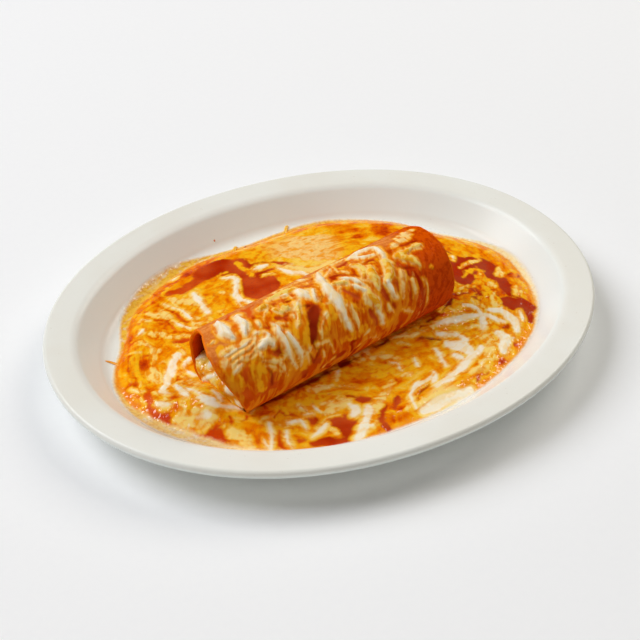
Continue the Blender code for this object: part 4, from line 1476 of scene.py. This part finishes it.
# Single colours
MAROON = colour(174, 64, 34)
OIL = colour(246, 190, 66)
OIL_SPECKS = colour(216, 124, 22)
MILK = colour(254, 232, 178)
MILK_SPECKS = colour(252, 204, 110)
RIM_SAUCE = colour(232, 120, 10)
RIM_MILKY = colour(244, 160, 40)
GLAZE = colour(242, 242, 234)
GLAZE_WARM = colour(239, 237, 227)
# Painted light on the well's wall
GLAZE_WALL_LIT = colour(247, 253, 248)
GLAZE_SPECKS = colour(190, 176, 150)
BARE_FOOT = colour(206, 190, 160)
TORTILLA_TAN = colour(234, 142, 66)
TORTILLA_DARK = colour(210, 106, 34)
TORTILLA_AMBER = colour(240, 146, 30)
TORTILLA_SAUCED = colour(222, 86, 0)
# Painted shade: the right end's darker red lower down round the roll
TORTILLA_RED_IN_SHADE = colour(216, 78, 12)
TORTILLA_DEEP = colour(168, 38, 0)
WORN = colour(232, 144, 60)
LIP = colour(226, 112, 16)
# Painted light and shade at the roll's left end: the far lip and the mouth lighter, as if lit, and the
# cavity dark as shade
FAR_LIP_LIT = colour(252, 122, 6)
MOUTH_LIT = colour(228, 70, 4)
CAVITY_SHADE = colour(96, 6, 2)
PAPER = (colour(250, 250, 250), colour(247, 247, 248))

# Each kind's edge in millimetres: where it starts and is full, and how ragged it is
SOFTNESS = {
    "red": (-0.9, 0.9),
    "dark": (-1.3, 1.7),
    "yellow": (-1.1, 1.1),
    "pale": (-0.7, 1.2),
    "white": (0.05, 1.5),
}
RAGGED_EDGE = {"red": 0.7, "dark": 0.7, "yellow": 1.1, "pale": 1.0, "white": 0.35}

# How far one kind lies melted round another, in millimetres
MELTED_ROUND = (("pale", "white", 0.60), ("yellow", "pale", 0.85))

# How light enters the food, and how deep each surface's relief is in metres
SUBSURFACE = {
    "Subsurface Weight": 0.08,
    "Subsurface Radius": (0.0010, 0.0006, 0.0003),
    "Subsurface Scale": 1.0,
}
FOOD_RELIEF = 0.00022
CRUMB_RELIEF = 0.0001
GLAZE_RELIEF = 0.0002


def cheese_tones(shading, lump, cheddar, melt):
    """The two colours of each kind, which change over the pool and on the lumps of the roll."""
    east = shading.remap(shading.axis("X"), 0.052, 0.072)
    west = shading.remap(shading.axis("X"), -0.034, -0.070)
    light = shading.remap(shading.measured("tone"), 0.13, 0.24)
    red = (RED[0], shading.blend(east, RED[1], MAROON))
    pale = (shading.blend(light, *melt), melt[1])
    return {
        "red": [shading.blend(west, *pair) for pair in zip(red, RED_WEST)],
        "dark": DARK_SAUCE_AND_SHADE,
        "yellow": [shading.blend(light, *pair) for pair in zip(cheddar, YELLOW_LIGHT)],
        "pale": [shading.blend(lump, *pair) for pair in zip(pale, LUMP)],
        "white": WHITE,
    }


def cheese_depths(shading, ragged):
    """How far inside each kind a place lies, with the kinds that melt round others widened."""
    depth = {
        kind: shading.weighted((ragged, RAGGED_EDGE[kind]), (shading.measured(kind), 1.0)) for kind in KINDS
    }
    for outer, inner, width in MELTED_ROUND:
        depth[outer] = shading.maths("MAXIMUM", depth[outer], shading.maths("ADD", depth[inner], width))
    return depth


def cheese_layers(shading, base, raggedness, cheddar, melt):
    """Lays red sauce, cheddar, pale melt and white cheese over a base colour, each melting into the next."""
    fine = shading.grain(0.0017, detail=1.5)
    coarse = shading.grain(0.0034, detail=1.0)
    streaks = shading.flow_grain(1.3, detail=2.0)
    terms = ((fine, 0.4 * raggedness), (coarse, 1.7 * raggedness), (streaks, 2.7 * raggedness))
    depth = cheese_depths(shading, shading.weighted(*terms, offset=-2.4 * raggedness))
    swirls = shading.flow_grain(1.3, detail=1.5, distortion=0.5)
    tint = shading.remap(shading.weighted((swirls, 0.70), (coarse, 0.22), (fine, 0.08)), 0.38, 0.58)
    lump = shading.remap(shading.measured("lump"), 0.25, 0.75)
    smooth = shading.blend(lump, tint, shading.remap(coarse, 0.42, 0.60))
    calm = shading.remap(shading.grain(0.012, detail=1.0), 0.3, 0.7)
    mixes = {"red": calm, "dark": calm, "yellow": tint, "pale": smooth, "white": tint}
    tones = cheese_tones(shading, lump, cheddar, melt)
    cover = {}
    for kind in KINDS:
        cover[kind] = shading.remap(depth[kind], *SOFTNESS[kind])
        base = shading.blend(cover[kind], base, shading.blend(mixes[kind], *tones[kind]))
    return base, cover, fine, streaks, lump


def shade_cheese(
    shading, base, raggedness=1.0, sheen=0.02, wetness=0.9, sauce_wetness=1.0, dullness=0.12,
    cheddar=CHEDDAR, melt=MELT, film=None,
):
    """The look of sauce and cheese, over a base colour, and of the film at its edge."""
    result, cover, fine, streaks, lump = cheese_layers(shading, base, raggedness, cheddar, melt)
    if film:
        result = film(shading, result)
    shading.set("Base Color", result)
    shading.set("Roughness", shading.weighted((cover["pale"], 0.12), (fine, 0.10), offset=dullness))
    drops = shading.remap(shading.grain(0.0016, detail=1.0), 0.58, 0.66, sheen, wetness)
    where = shading.maths("MAXIMUM", cover["pale"], sauce_wetness)
    shading.set("Specular IOR Level", shading.maths("MULTIPLY", drops, where))
    on_white = shading.remap(cover["white"], 0.2, 0.9, 1.0, 0.35)
    on_lumps = shading.remap(lump, 0.0, 1.0, 1.0, 0.2)
    furrows = shading.maths("MULTIPLY", streaks, on_white, on_lumps)
    shading.bump(shading.weighted((cover["pale"], 0.35), (fine, 0.25), (furrows, 0.75)), FOOD_RELIEF)
    for name, value in SUBSURFACE.items():
        shading.set(name, value)
    return shading.material


def film_reach(shading):
    """How far inside the film at the pool's edge a place lies, in millimetres, and how raggedly."""
    fine = shading.weighted((shading.grain(0.0014, detail=3.0), 1.2), offset=-0.6)
    wander = shading.weighted((shading.grain(0.0060, detail=3.0), 3.0), offset=-1.5)
    reach = shading.maths("SUBTRACT", shading.measured("from_edge"), shading.measured("film"))
    return shading.maths("ADD", reach, shading.maths("ADD", wander, fine)), wander, fine


def film_at_the_edge(shading, result):
    """Oil and thin sauce that thins out over the glaze, with brown specks."""
    reach, wander, fine = film_reach(shading)
    tone = shading.blend(shading.measured("milky"), OIL, MILK)
    thin = shading.remap(shading.flow_grain(1.3, detail=3.0), 0.48, 0.68, 0.0, 0.45)
    tone = shading.blend(thin, tone, GLAZE_WARM)
    mottle = shading.weighted((shading.grain(0.0021, detail=2.0), 0.7), (shading.flow_grain(2.0), 0.3))
    mottle = shading.remap(mottle, 0.46, 0.62, 0.0, 0.45)
    tone = shading.blend(mottle, tone, shading.blend(shading.measured("milky"), OIL_SPECKS, MILK_SPECKS))
    result = shading.blend(shading.remap(reach, 1.2, -1.2), result, tone)
    outer = shading.weighted((shading.measured("from_edge"), 1.0), (fine, 0.6), (wander, 0.35))
    return shading.blend(shading.remap(outer, 2.4, -0.4), result, GLAZE)


def pool_material():
    shading = Shading("red_sauce_and_melted_cheese")
    flow = shading.flow_grain(0.7, detail=3.0, roughness=0.5, distortion=0.3)
    mottle = shading.grain(0.0075, detail=3.0, roughness=0.5, distortion=0.4)
    tone = shading.weighted((flow, 1.0), (mottle, 1.2), (shading.measured("tone"), 1.0), offset=-0.52)
    base = shading.ramp(tone, SAUCE_TONES)
    band = shading.remap(film_reach(shading)[0], 3.8, 0.8, 0.0, 0.85)
    base = shading.blend(band, base, shading.blend(shading.measured("milky"), RIM_SAUCE, RIM_MILKY))
    return shade_cheese(shading, base, film=film_at_the_edge)


def filling_material():
    shading = Shading("sauced_cheese_filling")
    mottle = shading.grain(0.0040, detail=4.0, roughness=0.6, distortion=0.8)
    # Painted light: the tones are lifted lighter, so the heap in the roll's mouth looks lit
    base = shading.ramp(shading.weighted((mottle, 1.6), offset=-0.12), SAUCE_TONES)
    return shade_cheese(shading, base, raggedness=0.7)


def tortilla_masks(shading, along, turned):
    """Where the sheet is low, bare of sauce, bare along its ridge, and at its red right end, as 0 to 1."""
    drift = shading.weighted((shading.grain(0.014, detail=3.0, distortion=0.5), 60.0), offset=-30.0)

    def drifting(value, share, *bounds):
        return shading.remap(shading.weighted((value, 1.0), (drift, share)), *bounds)

    low = drifting(turned, 0.5, 118.0, 150.0, 0.0, 0.7)
    left = drifting(along, 0.3, -82.0, -70.0, 1.0, 0.0)
    high = drifting(turned, 0.5, 130.0, 108.0)
    middle = shading.remap(along, 50.0, 36.0)
    ridge = drifting(turned, 0.5, 92.0, 70.0)
    ridge = shading.maths("MULTIPLY", ridge, middle, drifting(turned, 1.0, 25.0, 55.0))
    bare = shading.maths("MAXIMUM", shading.maths("MULTIPLY", left, high), ridge)
    return low, bare, ridge, drifting(along, 0.2, 22.0, 31.0)


def sauced_tortilla(shading, mottle, low):
    """The sheet under sauce, streaked, and more even low down."""
    flow = shading.flow_grain(0.8, detail=4.0, distortion=0.4)
    sauced = shading.ramp(shading.weighted((flow, 1.3), (mottle, 0.5), offset=-0.52), SAUCE_TONES)
    even = shading.blend(shading.remap(flow, 0.40, 0.60), TORTILLA_SAUCED, TORTILLA_AMBER)
    return shading.blend(low, sauced, even)


def red_tortilla(shading, mottle, along, turned):
    """The sheet's right end, red with sauce, painted darker lower down as shade and lighter on its top, worn
    lighter in streaks and darker in blotches.
    """
    reds = shading.blend(shading.remap(turned, 150.0, 80.0), TORTILLA_RED_IN_SHADE, TORTILLA_SAUCED)
    worn = shading.remap(shading.flow_grain(2.0, detail=3.0), 0.50, 0.62, 0.0, 0.75)
    worn = shading.maths("MULTIPLY", worn, shading.remap(along, 40.0, 30.0))
    reds = shading.blend(worn, reds, WORN)
    blotches = shading.weighted((mottle, 0.5), (shading.flow_grain(1.6, detail=4.0), 0.5))
    return shading.blend(shading.remap(blotches, 0.56, 0.40, 0.0, 0.6), reds, TORTILLA_DEEP)


def tortilla_ends(shading, base, mottle, turned):
    """Paints light and shade on the sheet's inner face, lit orange at its mouth and darker deeper into the
    roll, and colours its cut lip, lighter on the far side as if lit.
    """
    from_end = shading.measured("from_end")
    deep = shading.remap(shading.weighted((from_end, 1.0), (mottle, 5.0)), 3.0, 12.0)
    base = shading.blend(shading.measured("inside"), base, shading.blend(deep, MOUTH_LIT, CAVITY_SHADE))
    lip = shading.remap(shading.weighted((from_end, 1.0), (mottle, 1.6)), 2.2, 1.0, 0.0, 0.85)
    return shading.blend(lip, base, shading.blend(shading.remap(turned, 120.0, 95.0), LIP, FAR_LIP_LIT))


def tortilla_material():
    shading = Shading("corn_tortilla_in_sauce")
    along = shading.measured("along")
    turned = shading.measured("turned")
    mottle = shading.grain(0.0028, detail=4.0, roughness=0.6)
    low, bare, ridge, right = tortilla_masks(shading, along, turned)
    tan = shading.blend(shading.remap(mottle, 0.62, 0.42, 0.0, 0.7), TORTILLA_TAN, TORTILLA_DARK)
    base = shading.blend(bare, sauced_tortilla(shading, mottle, low), tan)
    reds = shading.blend(ridge, red_tortilla(shading, mottle, along, turned), tan)
    base = tortilla_ends(shading, shading.blend(right, base, reds), mottle, turned)
    return shade_cheese(
        shading, base, raggedness=0.8, sheen=0.0, wetness=0.6, sauce_wetness=0.04, dullness=0.20,
        cheddar=CHEDDAR_ON_ROLL, melt=MELT_ON_ROLL,
    )


def crumb_material():
    shading = Shading("crumbs_of_cheese_and_sauce")
    grain = shading.grain(0.0008, detail=2.0)
    shade = shading.weighted((grain, 0.3), (shading.measured("shade"), 0.8), offset=-0.1)
    shading.set("Base Color", shading.ramp(shade, SAUCE_TONES))
    shading.set("Roughness", 0.3)
    shading.bump(grain, CRUMB_RELIEF)
    return shading.material


def glaze_material():
    shading = Shading("ivory_glaze")
    cloud = shading.grain(0.05, detail=3.0)
    fine = shading.grain(0.0022)
    tone = shading.blend(shading.remap(cloud, 0.35, 0.65), GLAZE, GLAZE_WARM)
    specks = shading.remap(shading.grain(0.0016, detail=1.0), 0.755, 0.79, 0.0, 0.25)
    tone = shading.blend(specks, tone, GLAZE_SPECKS)
    height = shading.axis("Z")
    # Painted light: the well's wall is lighter and cooler, against its shade and the orange light the sauce
    # throws on it
    wall = shading.remap(height, 0.0078, 0.0115)
    wall = shading.maths("MULTIPLY", wall, shading.remap(height, 0.0232, 0.0208))
    tone = shading.blend(wall, tone, GLAZE_WALL_LIT)
    bare = shading.remap(height, 0.0005, 0.0002)
    shading.set("Base Color", shading.blend(bare, tone, BARE_FOOT))
    gloss = shading.remap(fine, 0.3, 0.7, 0.20, 0.26)
    shading.set("Roughness", shading.maths("MAXIMUM", gloss, shading.maths("MULTIPLY", bare, 0.8)))
    shading.set("Specular IOR Level", 0.28)
    shading.bump(cloud, GLAZE_RELIEF)
    return shading.material


# Stage

FLOOR_REACH = 4
CAMERA_NEAR = 0.01
SKY = (1.0, 0.94, 0.83, 1.0)
SKY_STRENGTH = 0.06

# Softboxes: azimuth and elevation in degrees, distance and size in metres, power in watts, colour
SOFTBOXES = {
    "window": (166, 48, 3.4, 2.2, 94.0, (0.935, 0.955, 1.0)),
    "fill behind": (42, 47, 2.3, 1.3, 20.0, (1.0, 0.97, 0.90)),
    "fill in front": (275, 50, 2.3, 1.3, 7.6, (1.0, 0.96, 0.90)),
}


def make_stage():
    shading = Shading("white_paper")
    shading.set("Base Color", shading.blend(shading.grain(0.004, detail=3.0), *PAPER))
    shading.set("Roughness", 0.9)
    mesh = bpy.data.meshes.new("floor")
    corners = [(x * FLOOR_REACH, y * FLOOR_REACH, 0) for x, y in ((-1, -1), (1, -1), (1, 1), (-1, 1))]
    mesh.from_pydata(corners, [], [(0, 1, 2, 3)])
    mesh.materials.append(shading.material)
    floor = bpy.data.objects.new("floor", mesh)
    bpy.context.scene.collection.objects.link(floor)


def make_softbox(name, azimuth, elevation, distance, size, power, tone):
    """A square light seen from the platter at an azimuth, 0 for the picture's right, and an elevation."""
    light = bpy.data.lights.new(name, "AREA")
    light.size = size
    light.energy = power
    light.color = tone
    lamp = bpy.data.objects.new(name, light)
    azimuth = math.radians(azimuth) + CAMERA_AZIMUTH
    elevation = math.radians(elevation)
    lamp.location = distance * Vector((
        math.cos(azimuth) * math.cos(elevation),
        math.sin(azimuth) * math.cos(elevation),
        math.sin(elevation),
    ))
    lamp.rotation_euler = (-lamp.location).to_track_quat("-Z", "Y").to_euler()
    bpy.context.scene.collection.objects.link(lamp)


def light_scene():
    world = bpy.data.worlds.new("studio")
    world.use_nodes = True
    background = world.node_tree.nodes["Background"]
    background.inputs["Color"].default_value = SKY
    background.inputs["Strength"].default_value = SKY_STRENGTH
    bpy.context.scene.world = world
    for name, softbox in SOFTBOXES.items():
        make_softbox(name, *softbox)
    bpy.context.scene.view_settings.view_transform = "Standard"


def make_camera():
    camera = bpy.data.cameras.new("photograph")
    camera.sensor_width = SENSOR
    camera.lens = FOCAL_LENGTH
    camera.clip_start = CAMERA_NEAR
    holder = bpy.data.objects.new("photograph", camera)
    holder.location = CAMERA_PLACE
    holder.rotation_euler = (-CAMERA_BACK).to_track_quat("-Z", "Y").to_euler()
    bpy.context.scene.collection.objects.link(holder)
    bpy.context.scene.camera = holder


make_platter(glaze_material())
make_pool(pool_material())
make_tortilla(tortilla_material())
make_filling(filling_material())
make_crumbs(crumb_material())
make_stage()
light_scene()
make_camera()
